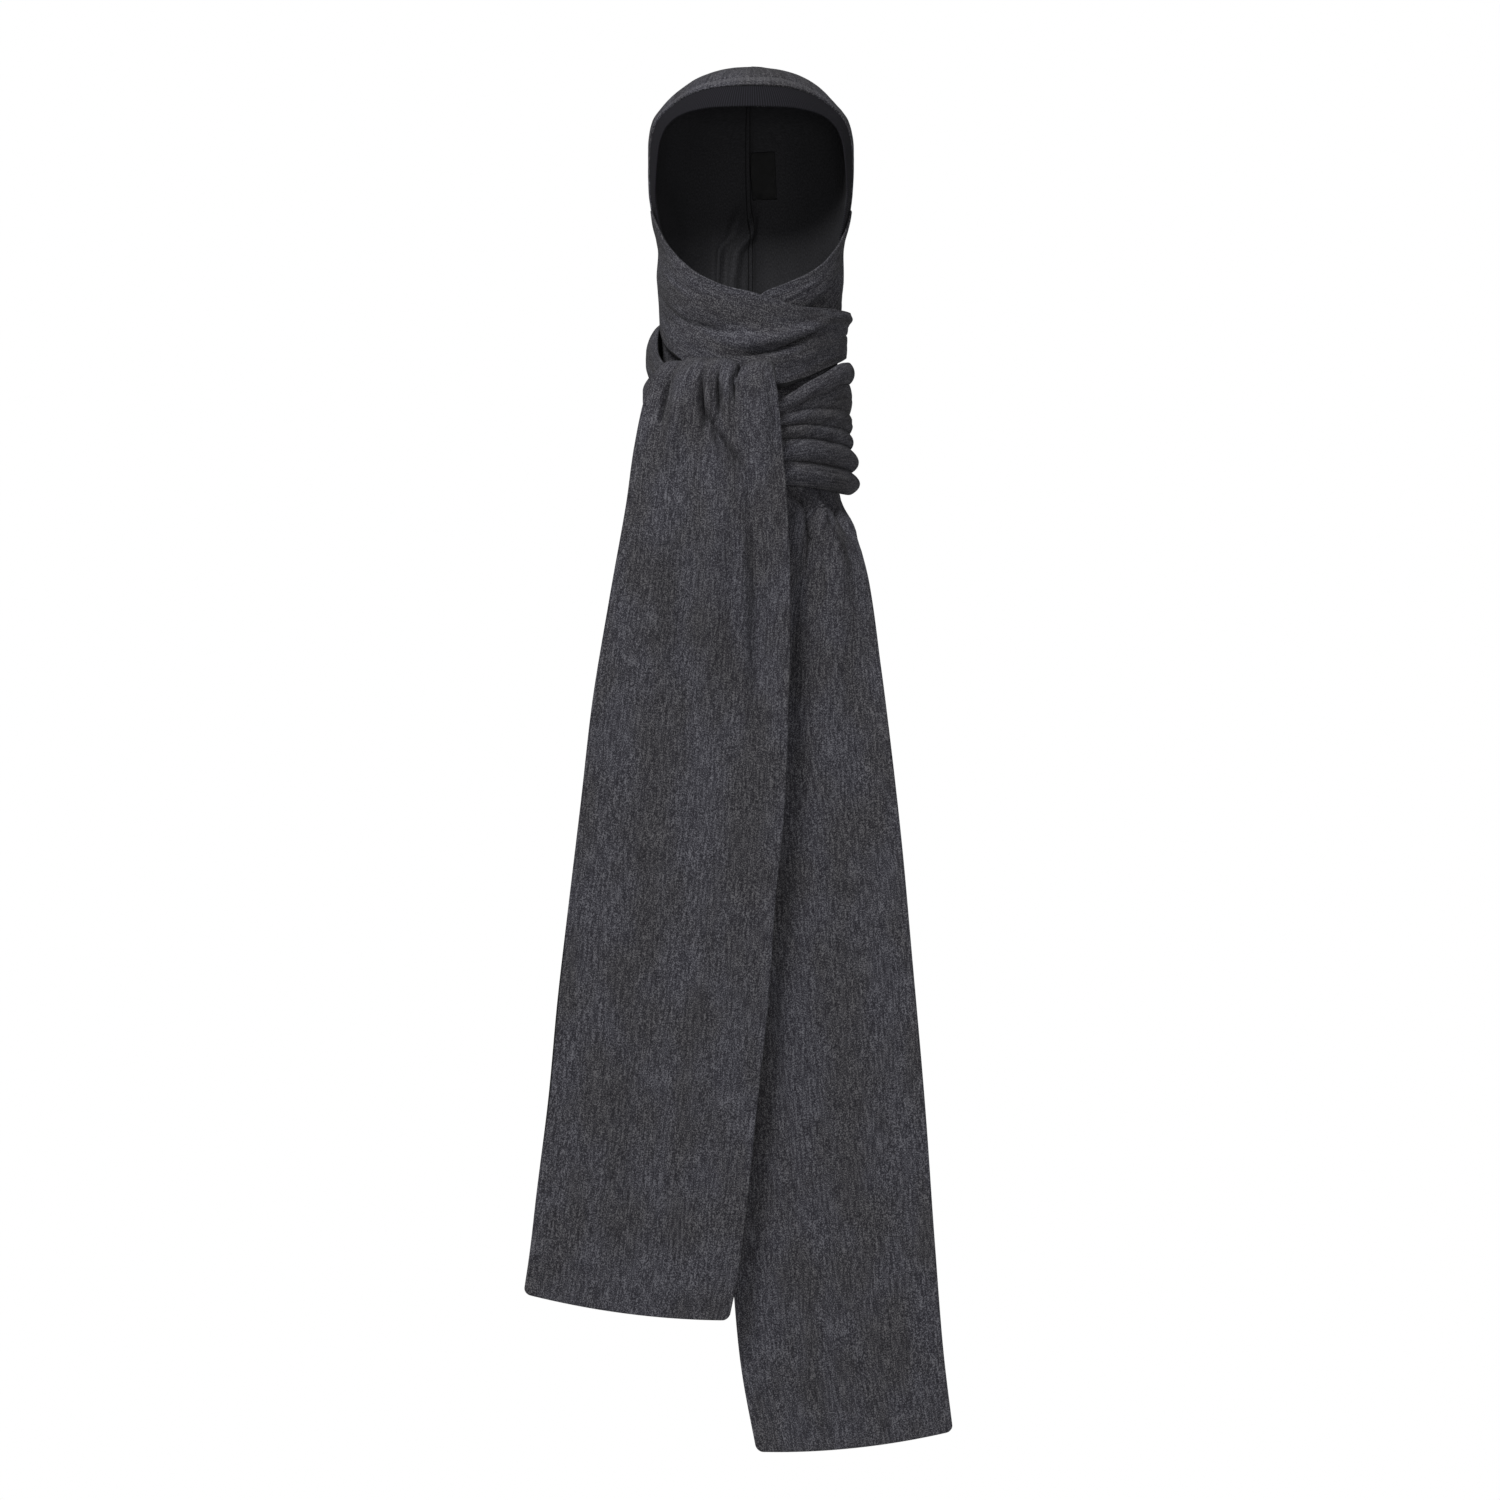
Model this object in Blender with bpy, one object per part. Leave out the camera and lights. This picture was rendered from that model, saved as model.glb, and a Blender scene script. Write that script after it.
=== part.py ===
"""Hooded scarf, worn: a hood with a long scarf tail on each side, wrapped and knotted at the neck.

Metres, +Z up. +X is the viewer's right, the face opening looks along -Y, and the origin is the
point inside the crown where the head carries the hood.
"""

import math

import bpy
import numpy as np

# Hood sizes
HOOD_WIDTH = 0.206
HOOD_FRONT = 0.092
HOOD_BACK = 0.118
HOOD_HEIGHT = 0.255
TEMPLE_DROP = 0.143
CHIN_DROP = 0.226
BAND_WIDTH = 0.021

# Wrap and tail sizes
WRAP_HEIGHT = 0.205
TAIL_WIDTH = 0.206
FRONT_TAIL_FALL = 0.946
SIDE_TAIL_FALL = 0.944
FRONT_TAIL_LEVEL = 0.332
SIDE_TAIL_LEVEL = 1.0
GATHER_DEPTH = 0.0085
CREASE_DEPTH = 0.006

# Label inside the back of the hood
LABEL_WIDTH = 0.032
LABEL_HEIGHT = 0.050
LABEL_DROP = 0.107
LABEL_TURN = 172.5
LABEL_TILT = 3.0

# Cloth thicknesses and clearances
SHELL = 0.002
LINING = 0.001
TAIL_CLOTH = 0.003
BAND_CLOTH = 0.0015
LABEL_CLOTH = 0.0008
GAP = 0.0003
AIR = 0.0015
LABEL_SEAT = 0.0007
BAND_SEAM = 0.0012
SIDE_SEAM = 0.0010

# Angles round the neck in degrees: 0 at the front, positive to the viewer's right
TEMPLE_TURN = 88.0
SIDE_TURN = 98.0
BAND_STOP = 0.4

# Mesh fineness
HOOD_ARCH_COLUMNS = 11
HOOD_SIDE_COLUMNS = 4
HOOD_BACK_COLUMNS = 16
HOOD_ROWS = 8
LEFT_ACROSS = 16
RIGHT_ACROSS = 26
WRAP_CELL = 0.031
KNOT_CELL = 0.013
HANG_CELL = 0.080
KNOT_TURN = 388.0
KNOT_FALL = 0.03
HANG_START = 0.1
BEFORE_FALL = -0.02
ROW_STEP = 0.02
TURN_STEP = 0.5
SHARP_ANGLE = 60.0

# Worked out from the sizes above
SHELL_TOP = LINING + GAP + SHELL / 2
LINING_TOP = -SHELL / 2 - GAP
LABEL_TOP = LINING_TOP - LINING - LABEL_SEAT
LAYER = TAIL_CLOTH + AIR


def table(names, *rows):
    """Columns of a table by name, from rows of numbers."""
    return dict(zip(names.split(), np.array(rows, dtype=float).T))


# Level sections of the head form: drop in shares of HOOD_HEIGHT, side in shares of half the
# hood's width, front and back in shares of HOOD_FRONT and HOOD_BACK
HEAD = table(
    "drop side front back",
    (0.000, 0.00, 0.00, 0.00),
    (0.006, 0.21, 0.30, 0.22),
    (0.024, 0.41, 0.55, 0.40),
    (0.047, 0.54, 0.70, 0.54),
    (0.072, 0.63, 0.80, 0.64),
    (0.118, 0.76, 0.88, 0.77),
    (0.165, 0.86, 0.93, 0.86),
    (0.212, 0.935, 0.96, 0.93),
    (0.260, 0.975, 0.98, 0.97),
    (0.330, 1.00, 1.00, 1.00),
    (0.490, 0.995, 1.00, 0.99),
    (0.610, 0.96, 0.99, 0.92),
    (0.685, 0.915, 0.97, 0.85),
    (0.740, 0.895, 0.96, 0.80),
    (0.820, 0.900, 0.95, 0.765),
    (0.920, 0.880, 0.93, 0.735),
    (1.050, 0.860, 0.915, 0.72),
    (1.750, 0.855, 0.915, 0.72),
)

# Front edge of the hood from the forehead to the temple: drop in shares of TEMPLE_DROP
ARCH = table(
    "turn drop",
    (0.0, 0.140),
    (25.0, 0.147),
    (40.0, 0.168),
    (50.0, 0.196),
    (58.0, 0.238),
    (68.0, 0.325),
    (75.0, 0.440),
    (80.0, 0.600),
    (84.0, 0.780),
    (TEMPLE_TURN, 1.000),
)

# Above its edge, over this share of HOOD_HEIGHT, the hood's dents fade out
EDGE_FADE = 0.1

# Where the folds of a wrap begin, stand full and end, and where they run from the side of the
# neck to the knot, in degrees along its tail
RETURN_WINDOW = (225.0, 258.0, 282.0, 310.0)
RETURN_RUN = (255.0, 300.0)
GATHER_WINDOW = (195.0, 262.0, 350.0, 385.0)
GATHER_RUN = (270.0, 345.0)

# Soft dents and swellings of the hood: place, spread in degrees and in shares of HOOD_HEIGHT,
# and height in shares of CREASE_DEPTH
HOOD_FOLDS = table(
    "turn drop wide tall height",
    (52.0, 0.06, 16.0, 0.05, 0.45),
    (64.0, 0.14, 9.0, 0.04, -0.40),
    (-62.0, 0.12, 18.0, 0.06, -0.35),
    (188.0, 0.80, 9.0, 0.22, -1.30),
    (170.0, 0.84, 8.0, 0.16, 0.55),
    (206.0, 0.76, 9.0, 0.20, 0.60),
    (120.0, 0.62, 20.0, 0.10, -0.50),
    (236.0, 0.60, 20.0, 0.10, -0.50),
)

# Each row of a wrap is a line across the strip, from its upper to its lower edge. A level is -1
# at the temple, 0 at the chin and 1 at the lowest gather, and a layer counts cloths outwards.
WRAP_COLUMNS = "upper_turn upper_level upper_layer lower_turn lower_level lower_layer"
LEFT_WRAP = table(
    WRAP_COLUMNS,
    (-88.0, -1.00, 0.0, -98.0, 0.14, 0.0),
    (-75.0, -0.88, 0.4, -82.0, 0.19, 0.8),
    (-60.0, -0.59, 1.2, -62.0, 0.28, 1.5),
    (-45.0, -0.38, 1.8, -45.0, 0.34, 1.9),
    (-30.0, -0.20, 2.0, -30.0, 0.39, 2.0),
    (-15.0, -0.07, 2.0, -15.0, 0.43, 2.0),
    (0.0, 0.00, 2.0, 0.0, 0.47, 2.0),
    (15.0, 0.04, 2.0, 15.0, 0.48, 2.0),
    (30.0, 0.07, 2.0, 30.0, 0.44, 2.0),
    (50.0, 0.08, 1.9, 50.0, 0.38, 1.8),
    (70.0, 0.09, 1.7, 70.0, 0.34, 1.4),
    (90.0, 0.10, 1.6, 90.0, 0.32, 1.1),
    (120.0, 0.10, 1.5, 120.0, 0.33, 1.2),
    (150.0, 0.10, 1.6, 150.0, 0.36, 1.6),
    (180.0, 0.11, 2.0, 180.0, 0.40, 2.1),
    (210.0, 0.13, 2.1, 210.0, 0.44, 2.2),
    (240.0, 0.14, 2.2, 240.0, 0.49, 2.4),
    (265.0, 0.17, 2.3, 265.0, 0.55, 3.0),
    (285.0, 0.22, 3.2, 285.0, 0.58, 4.2),
    (298.0, 0.30, 4.6, 298.0, 0.60, 5.2),
    (309.0, 0.36, 5.7, 308.0, 0.61, 5.8),
    (319.0, 0.405, 6.1, 316.0, 0.61, 6.0),
    (333.0, 0.41, 6.0, 324.0, 0.64, 6.0),
    (347.0, 0.41, 5.9, 331.0, 0.70, 5.9),
    (362.0, 0.44, 5.6, 338.0, 0.78, 5.9),
    (379.0, 0.52, 5.0, 347.0, 0.86, 5.8),
    (397.0, 0.63, 3.2, 356.0, 0.92, 5.4),
    (413.0, 0.76, 2.0, 364.0, 0.97, 4.9),
    (425.0, 0.90, 1.5, 370.0, 1.01, 4.6),
    (432.0, 1.01, 1.0, 374.0, 1.05, 4.4),
)
RIGHT_WRAP = table(
    WRAP_COLUMNS,
    (88.0, -1.00, 0.0, 98.0, 0.14, 0.0),
    (77.0, -0.68, 0.0, 84.0, 0.30, 0.0),
    (62.0, -0.47, 0.0, 68.0, 0.42, 0.0),
    (48.0, -0.31, 0.0, 50.0, 0.48, 0.0),
    (34.0, -0.19, 0.0, 34.0, 0.50, 0.0),
    (18.0, -0.07, 0.0, 18.0, 0.52, 0.0),
    (0.0, 0.05, 0.0, 0.0, 0.55, 0.0),
    (-20.0, 0.08, 0.0, -20.0, 0.57, 0.0),
    (-45.0, 0.12, 0.0, -45.0, 0.59, 0.0),
    (-70.0, 0.17, 0.0, -70.0, 0.60, 0.0),
    (-90.0, 0.20, 0.0, -90.0, 0.61, 0.0),
    (-120.0, 0.23, 0.0, -120.0, 0.68, 0.1),
    (-150.0, 0.28, 0.0, -150.0, 0.78, 0.3),
    (-180.0, 0.36, 0.3, -180.0, 0.86, 0.8),
    (-210.0, 0.39, 1.0, -210.0, 0.92, 1.2),
    (-240.0, 0.36, 1.7, -240.0, 0.97, 1.7),
    (-265.0, 0.345, 2.2, -265.0, 0.985, 2.2),
    (-285.0, 0.345, 2.6, -285.0, 0.98, 2.6),
    (-300.0, 0.355, 3.3, -300.0, 0.975, 3.3),
    (-315.0, 0.40, 4.2, -315.0, 0.965, 4.3),
    (-330.0, 0.45, 5.5, -330.0, 0.95, 5.6),
    (-344.0, 0.52, 7.0, -344.0, 0.94, 7.0),
    (-359.0, 0.56, 7.8, -359.0, 0.94, 7.8),
    (-375.0, 0.59, 8.0, -375.0, 0.95, 8.0),
    (-389.0, 0.65, 8.0, -389.0, 0.975, 8.0),
    (-398.0, 0.685, 7.5, -398.0, 0.99, 7.5),
    (-402.0, 0.69, 5.9, -402.0, 0.99, 5.9),
    (-398.0, 0.685, 4.3, -397.0, 0.99, 4.3),
    (-391.0, 0.63, 3.7, -387.0, 0.97, 3.7),
    (-390.0, 0.59, 3.7, -370.0, 0.93, 3.7),
    (-392.0, 0.54, 3.7, -357.0, 0.84, 3.7),
    (-396.0, 0.48, 3.7, -349.0, 0.70, 3.7),
    (-400.0, 0.42, 3.7, -348.0, 0.54, 3.7),
    (-405.0, 0.375, 3.6, -348.0, 0.42, 3.7),
)

# Each row of a hanging tail is a line between the edge that was uppermost in the wrap and the
# other one. Fall is a share of the tail's fall; x, y, swell and tilt are shares of TAIL_WIDTH.
HANG_COLUMNS = "fall upper_x upper_y lower_x lower_y swell tilt"
LEFT_HANG = table(
    HANG_COLUMNS,
    (0.030, 0.475, -0.160, 0.100, -0.490, -0.02, 0.00),
    (0.065, 0.540, -0.240, 0.035, -0.480, -0.02, 0.00),
    (0.110, 0.587, -0.330, -0.068, -0.465, 0.00, 0.00),
    (0.180, 0.631, -0.400, -0.170, -0.455, 0.00, 0.00),
    (0.260, 0.677, -0.435, -0.243, -0.450, 0.00, 0.00),
    (0.360, 0.728, -0.440, -0.257, -0.445, 0.00, 0.01),
    (0.500, 0.786, -0.440, -0.204, -0.440, 0.00, 0.02),
    (0.650, 0.845, -0.440, -0.150, -0.440, 0.00, 0.04),
    (0.800, 0.893, -0.440, -0.097, -0.440, 0.00, 0.06),
    (0.920, 0.937, -0.440, -0.044, -0.440, 0.00, 0.075),
    (1.000, 0.980, -0.440, 0.027, -0.440, 0.00, 0.083),
)
RIGHT_HANG = table(
    HANG_COLUMNS,
    (0.0030, -0.375, -0.335, 0.117, -0.510, -0.055, 0.00),
    (0.0000, -0.405, -0.410, 0.117, -0.550, -0.06, 0.00),
    (0.0040, -0.430, -0.470, 0.117, -0.590, -0.07, 0.00),
    (0.0170, -0.480, -0.520, 0.119, -0.612, -0.075, 0.00),
    (0.0410, -0.515, -0.545, 0.131, -0.620, -0.075, 0.00),
    (0.0950, -0.568, -0.570, 0.155, -0.620, -0.065, 0.00),
    (0.1480, -0.602, -0.590, 0.175, -0.620, -0.050, 0.00),
    (0.2500, -0.684, -0.600, 0.192, -0.615, -0.020, 0.00),
    (0.3600, -0.767, -0.595, 0.184, -0.600, 0.000, -0.01),
    (0.4700, -0.825, -0.595, 0.165, -0.595, 0.000, -0.015),
    (0.5700, -0.879, -0.595, 0.119, -0.595, 0.000, -0.03),
    (0.6800, -0.937, -0.595, 0.083, -0.595, 0.000, -0.04),
    (0.7850, -0.981, -0.595, 0.029, -0.595, 0.000, -0.06),
    (0.8900, -1.039, -0.595, -0.022, -0.595, 0.000, -0.09),
    (0.9600, -1.075, -0.595, -0.068, -0.595, 0.000, -0.12),
    (1.0000, -1.102, -0.595, -0.107, -0.595, 0.000, -0.14),
)

# Puffed folds of the gathers: where each fold starts across the strip, at the side of the neck
# and at the knot, and its height there in shares of GATHER_DEPTH
GATHERS = table(
    "side knot side_height knot_height",
    (0.00, 0.00, 0.75, 0.70),
    (0.16, 0.15, 1.00, 0.15),
    (0.40, 0.19, 0.70, 0.75),
    (0.55, 0.32, 0.60, 0.75),
    (0.67, 0.47, 1.00, 1.00),
    (0.84, 0.73, 1.05, 1.00),
)
RETURN_FOLDS = table(
    "side knot side_height knot_height",
    (0.00, 0.00, 0.80, 0.30),
    (0.64, 0.60, 0.75, 0.30),
)

# Long creases of the wraps: from one turn to another, places across the strip at both, half
# width across it, and height in shares of CREASE_DEPTH
CREASE_COLUMNS = "start end start_place end_place half_width height"
LEFT_CREASES = table(
    CREASE_COLUMNS,
    (-75.0, 24.0, 0.80, 0.24, 0.17, -0.65),
    (-14.0, 66.0, 0.72, 0.28, 0.12, -0.75),
    (-60.0, 80.0, 0.42, 0.62, 0.30, 0.45),
    (20.0, 150.0, 0.12, 0.12, 0.14, 0.60),
    (100.0, 250.0, 0.50, 0.45, 0.16, -0.60),
)
RIGHT_CREASES = table(
    CREASE_COLUMNS,
    (92.0, 20.0, 0.30, 0.42, 0.12, -0.50),
    (-100.0, -240.0, 0.35, 0.45, 0.12, -0.60),
    (-120.0, -250.0, 0.70, 0.75, 0.12, -0.60),
)

# Pleats of the hanging tails: the same columns, with falls in place of turns
LEFT_PLEATS = table(
    CREASE_COLUMNS,
    (-0.02, 0.16, 0.52, 0.46, 0.15, -0.95),
    (-0.02, 0.20, 0.28, 0.20, 0.13, 0.80),
    (-0.02, 0.22, 0.72, 0.70, 0.13, 0.75),
    (-0.02, 0.12, 0.92, 0.95, 0.10, -0.70),
    (0.10, 0.80, 0.40, 0.45, 0.22, -0.55),
    (0.30, 1.20, 0.75, 0.78, 0.20, 0.40),
)
RIGHT_PLEATS = table(
    CREASE_COLUMNS,
    (-0.01, 0.06, 0.13, 0.15, 0.09, -0.90),
    (-0.01, 0.22, 0.43, 0.76, 0.10, -1.25),
    (-0.01, 0.09, 0.55, 0.60, 0.09, -0.80),
    (-0.01, 0.05, 0.73, 0.75, 0.08, -1.30),
    (-0.01, 0.12, 0.30, 0.32, 0.14, 0.60),
    (0.06, 0.75, 0.22, 0.52, 0.20, -0.90),
    (0.10, 0.90, 0.70, 0.80, 0.18, 0.60),
    (0.40, 1.20, 0.28, 0.32, 0.20, 0.45),
)


def smooth(x, xs, ys):
    """Monotone cubic curve through the points (xs, ys), read at x."""
    step = np.diff(xs)
    slope = np.diff(ys) / step
    product = slope[:-1] * slope[1:]
    total = np.where(product > 0, slope[:-1] + slope[1:], 1.0)
    middle = np.where(product > 0, 2 * product / total, 0.0)
    tangent = np.concatenate((slope[:1], middle, slope[-1:]))
    k = np.clip(np.searchsorted(xs, x) - 1, 0, len(step) - 1)
    u = np.clip((x - xs[k]) / step[k], 0.0, 1.0)
    rise = (3 - 2 * u) * u * u
    return (
        ys[k] * (1 - rise)
        + ys[k + 1] * rise
        + step[k] * u * (1 - u) * (tangent[k] * (1 - u) - tangent[k + 1] * u)
    )


def through(keys, values, x):
    """Cubic curve through the rows of values, whose tangents are parabolic, read at x."""
    step = np.diff(keys)
    shape = (-1,) + (1,) * (values.ndim - 1)
    slope = np.diff(values, axis=0) / step.reshape(shape)
    weight = (step[1:] / (step[:-1] + step[1:])).reshape(shape)
    inner = slope[:-1] * weight + slope[1:] * (1 - weight)
    tangent = np.concatenate((slope[:1], inner, slope[-1:]))
    k = np.clip(np.searchsorted(keys, x) - 1, 0, len(step) - 1)
    u = ((x - keys[k]) / step[k]).reshape(shape)
    rise = (3 - 2 * u) * u * u
    pull = tangent[k] * (1 - u) - tangent[k + 1] * u
    return values[k] * (1 - rise) + values[k + 1] * rise + step[k].reshape(shape) * u * (1 - u) * pull


def head_row(drop):
    """Place of a drop among the rows of HEAD."""
    place = np.arange(len(HEAD["drop"]), dtype=float)
    dense = np.linspace(0.0, place[-1], 900)
    return np.interp(drop, smooth(dense, place, HEAD["drop"]) * HOOD_HEIGHT, dense)


def head_point(turn, row, out):
    """Points of the head form: x = a sin(turn), y = -b cos(turn), out from the cloth's middle."""
    place = np.arange(len(HEAD["drop"]), dtype=float)
    drop, side, front, back = (smooth(row, place, values) for values in HEAD.values())
    steep = np.clip(side, 0.0, 1.0)
    grow = steep * (out - SHELL / 2)
    angle = np.radians(turn)
    depth = np.where(np.cos(angle) > 0, front * HOOD_FRONT, back * HOOD_BACK)
    x = (side * HOOD_WIDTH / 2 + grow) * np.sin(angle)
    y = -(depth + grow) * np.cos(angle)
    z = SHELL_TOP + steep * SHELL / 2 - drop * HOOD_HEIGHT
    return np.stack(np.broadcast_arrays(x, y, z), axis=-1)


def around(turn, drop, out):
    """Points round the head or neck at a drop below the crown."""
    return head_point(turn, head_row(drop), out)


def level_drop(level):
    """Drop below the crown of a level of the wrap."""
    above = CHIN_DROP + level * (CHIN_DROP - TEMPLE_DROP)
    below = CHIN_DROP + level * WRAP_HEIGHT
    return np.where(level < 0, above, below)


def edge_drop(turn):
    """Drop of the hood's edge: the arch, then the slanted side seam, then the level bottom."""
    away = np.abs((turn + 180.0) % 360.0 - 180.0)
    arch = smooth(np.minimum(away, TEMPLE_TURN), ARCH["turn"], ARCH["drop"]) * TEMPLE_DROP
    share = np.clip((away - TEMPLE_TURN) / (SIDE_TURN - TEMPLE_TURN), 0.0, 1.0)
    seam = TEMPLE_DROP + share * (HOOD_HEIGHT - TEMPLE_DROP)
    return np.where(away < TEMPLE_TURN, arch, seam)


def bump(distance):
    """Rounded hump, 1 at distance 0 and 0 from distance 1 on."""
    near = np.clip(np.abs(distance), 0.0, 1.0)
    return 0.5 + 0.5 * np.cos(math.pi * near)


def grid_normals(points, closed=False):
    """Unit normals of a grid of points, from the differences along its rows and columns."""
    along = np.gradient(points, axis=0)
    if closed:
        across = np.roll(points, -1, axis=1) - np.roll(points, 1, axis=1)
    else:
        across = np.gradient(points, axis=1)
    normal = np.cross(along, across)
    length = np.linalg.norm(normal, axis=-1, keepdims=True)
    return normal / np.maximum(length, 1e-12)


def outward(points):
    """Unit normals turned away from the upright axis."""
    normal = grid_normals(points)
    away = np.sum(normal * points * (1.0, 1.0, 0.0), axis=-1, keepdims=True)
    return np.where(away < 0, -normal, normal)


def material(name, color, roughness):
    """A plain Principled material."""
    made = bpy.data.materials.new(name)
    made.use_nodes = True
    shader = made.node_tree.nodes["Principled BSDF"]
    shader.inputs["Base Color"].default_value = (*color, 1.0)
    shader.inputs["Roughness"].default_value = roughness
    shader.inputs["Metallic"].default_value = 0.0
    return made


def cloth(name, points, normal, low, high, skin, closed=False, pole=False):
    """A sheet between two heights over a grid of points, as one closed solid of triangles.

    A closed grid joins its last column to its first, and a pole is a first row drawn together.
    """
    rows, columns = points.shape[:2]
    first = 1 if pole else 0
    height = rows - first
    wrap = columns if closed else columns - 1
    upper = (points + normal * high)[first:].reshape(-1, 3)
    lower = (points + normal * low)[first:].reshape(-1, 3)
    under = len(upper)
    faces = []
    for i in range(height - 1):
        for j in range(wrap):
            k = (j + 1) % columns
            a, b, c, d = i * columns + j, i * columns + k, (i + 1) * columns + k, (i + 1) * columns + j
            faces += [(a, c, b), (a, d, c)]
            faces += [(a + under, b + under, c + under), (a + under, c + under, d + under)]
    loops = [] if pole else [((j + 1) % columns, j) for j in range(wrap)]
    last = (height - 1) * columns
    loops += [(last + j, last + (j + 1) % columns) for j in range(wrap)]
    if not closed:
        loops += [(i * columns, (i + 1) * columns) for i in range(height - 1)]
        loops += [((i + 2) * columns - 1, (i + 1) * columns - 1) for i in range(height - 1)]
    for a, b in loops:
        faces += [(a, a + under, b + under), (a, b + under, b)]
    vertices = np.vstack((upper, lower))
    if pole:
        top = len(vertices)
        tips = [points[0, 0] + normal[0, 0] * height for height in (high, low)]
        vertices = np.vstack((vertices, tips))
        for j in range(columns):
            k = (j + 1) % columns
            faces += [(top, j, k), (top + 1, k + under, j + under)]
    if np.sum(grid_normals(points, closed) * normal) < 0:
        faces = [face[::-1] for face in faces]
    mesh = bpy.data.meshes.new(name)
    mesh.from_pydata(vertices.tolist(), [], faces)
    mesh.materials.append(skin)
    mesh.shade_smooth()
    mesh.set_sharp_from_angle(angle=math.radians(SHARP_ANGLE))
    made = bpy.data.objects.new(name, mesh)
    bpy.context.scene.collection.objects.link(made)
    return made


def hood_turns():
    """Turns of the hood's columns, evenly spaced along the arch, the side seams and the back."""
    dense = np.linspace(0.0, TEMPLE_TURN, 200)
    edge = around(dense, edge_drop(dense), 0.0)
    length = np.concatenate(([0.0], np.cumsum(np.linalg.norm(np.diff(edge, axis=0), axis=1))))
    arch = np.interp(np.linspace(0.0, length[-1], HOOD_ARCH_COLUMNS + 1), length, dense)
    seam = np.linspace(TEMPLE_TURN, SIDE_TURN, HOOD_SIDE_COLUMNS + 1)
    back = np.linspace(SIDE_TURN, 360.0 - SIDE_TURN, HOOD_BACK_COLUMNS + 1)
    right = np.concatenate((arch, seam[1:], back[1:]))
    left = 360.0 - np.concatenate((arch, seam[1:]))[::-1]
    return np.concatenate((right, left[1:-1]))


def on_facets(grid, row, column):
    """Values of a grid read on its triangles, which share the diagonal from a cell's first corner."""
    i = np.floor(row).astype(int)
    j = np.floor(column).astype(int)
    v = (row - i)[..., None]
    u = (column - j)[..., None]
    a, b, c, d = grid[i, j], grid[i, j + 1], grid[i + 1, j + 1], grid[i + 1, j]
    return np.where(u > v, a + (b - a) * u + (c - b) * v, a + (d - a) * v + (c - d) * u)


def hood_surface(turn, row):
    """Middle surface of the shell with its dents and swellings."""
    drop = smooth(row, np.arange(len(HEAD["drop"]), dtype=float), HEAD["drop"]) * HOOD_HEIGHT
    return head_point(turn, row, hood_folds(turn, drop))


def hood_grid():
    """The shell's middle surface, down each column from the crown to the edge, and its normals."""
    turn = hood_turns()
    share = np.linspace(0.0, 1.0, HOOD_ROWS + 1)[:, None]
    row = share * head_row(edge_drop(turn))[None, :]
    turn = np.broadcast_to(turn, row.shape)
    points = hood_surface(turn, row)
    down = hood_surface(turn, row + ROW_STEP) - hood_surface(turn, row - ROW_STEP)
    aside = hood_surface(turn + TURN_STEP, row) - hood_surface(turn - TURN_STEP, row)
    normal = np.cross(down, aside)
    normal = normal / np.maximum(np.linalg.norm(normal, axis=-1, keepdims=True), 1e-12)
    normal[0] = (0.0, 0.0, 1.0)
    return points, normal


def hood_folds(turn, drop):
    """Height of the hood's dents and swellings, which fade out at its edge."""
    total = np.zeros(np.broadcast(turn, drop).shape)
    for place, level, wide, tall, height in zip(*HOOD_FOLDS.values()):
        apart = (turn - place + 180.0) % 360.0 - 180.0
        near = bump(apart / wide / 2) * bump((drop / HOOD_HEIGHT - level) / tall / 2)
        total += height * CREASE_DEPTH * near
    inside = np.clip((edge_drop(turn) - drop) / (EDGE_FADE * HOOD_HEIGHT), 0.0, 1.0)
    return total * inside


def build_hood(skin, dark):
    """The outer shell and, a gap inside it, the lining."""
    points, normal = hood_grid()
    cloth("hood_shell", points, normal, -SHELL / 2, SHELL / 2, skin, closed=True, pole=True)
    cloth("hood_lining", points, normal, LINING_TOP - LINING, LINING_TOP, dark, closed=True, pole=True)


def build_band(dark):
    """The forehead band: it runs on from the hood's front edge by its width, square to the edge."""
    half = np.minimum(hood_turns()[: HOOD_ARCH_COLUMNS + 1], TEMPLE_TURN - BAND_STOP)
    turn = np.concatenate((-half[:0:-1], half))
    drop = edge_drop(turn)
    radius = HOOD_WIDTH / 2
    run = np.gradient(np.radians(turn) * radius)
    fall = np.gradient(drop)
    length = np.hypot(run, fall)
    aside = fall / length
    down = run / length
    rows = []
    for share in np.linspace(0.0, 1.0, 3):
        reach = BAND_SEAM + share * (BAND_WIDTH - BAND_SEAM)
        place = turn - np.degrees(aside * reach / radius)
        rows.append(around(place, drop + down * reach, -share * BAND_CLOTH))
    points = np.stack(rows)
    cloth("forehead_band", points, outward(points), -BAND_CLOTH / 2, BAND_CLOTH / 2, dark)


def build_label(dark):
    """The bare label, sewn a little askew on the lining beside the back seam."""
    tilt = math.radians(LABEL_TILT)
    u = np.linspace(-0.5, 0.5, 4)[None, :] * LABEL_WIDTH
    v = np.linspace(-0.5, 0.5, 5)[:, None] * LABEL_HEIGHT
    aside = u * math.cos(tilt) - v * math.sin(tilt)
    turn = LABEL_TURN + np.degrees(aside / HOOD_BACK)
    drop = LABEL_DROP + u * math.sin(tilt) + v * math.cos(tilt)
    turns = hood_turns()
    column = np.interp(turn, turns, np.arange(len(turns)))
    points, normal = hood_grid()
    levels = SHELL_TOP + SHELL / 2 - points[:, round(column.mean()), 2]
    row = np.interp(drop, levels, np.arange(HOOD_ROWS + 1))
    points, normal = on_facets(points, row, column), on_facets(normal, row, column)
    cloth("label", points, normal, LABEL_TOP - LABEL_CLOTH, LABEL_TOP, dark)


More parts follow.
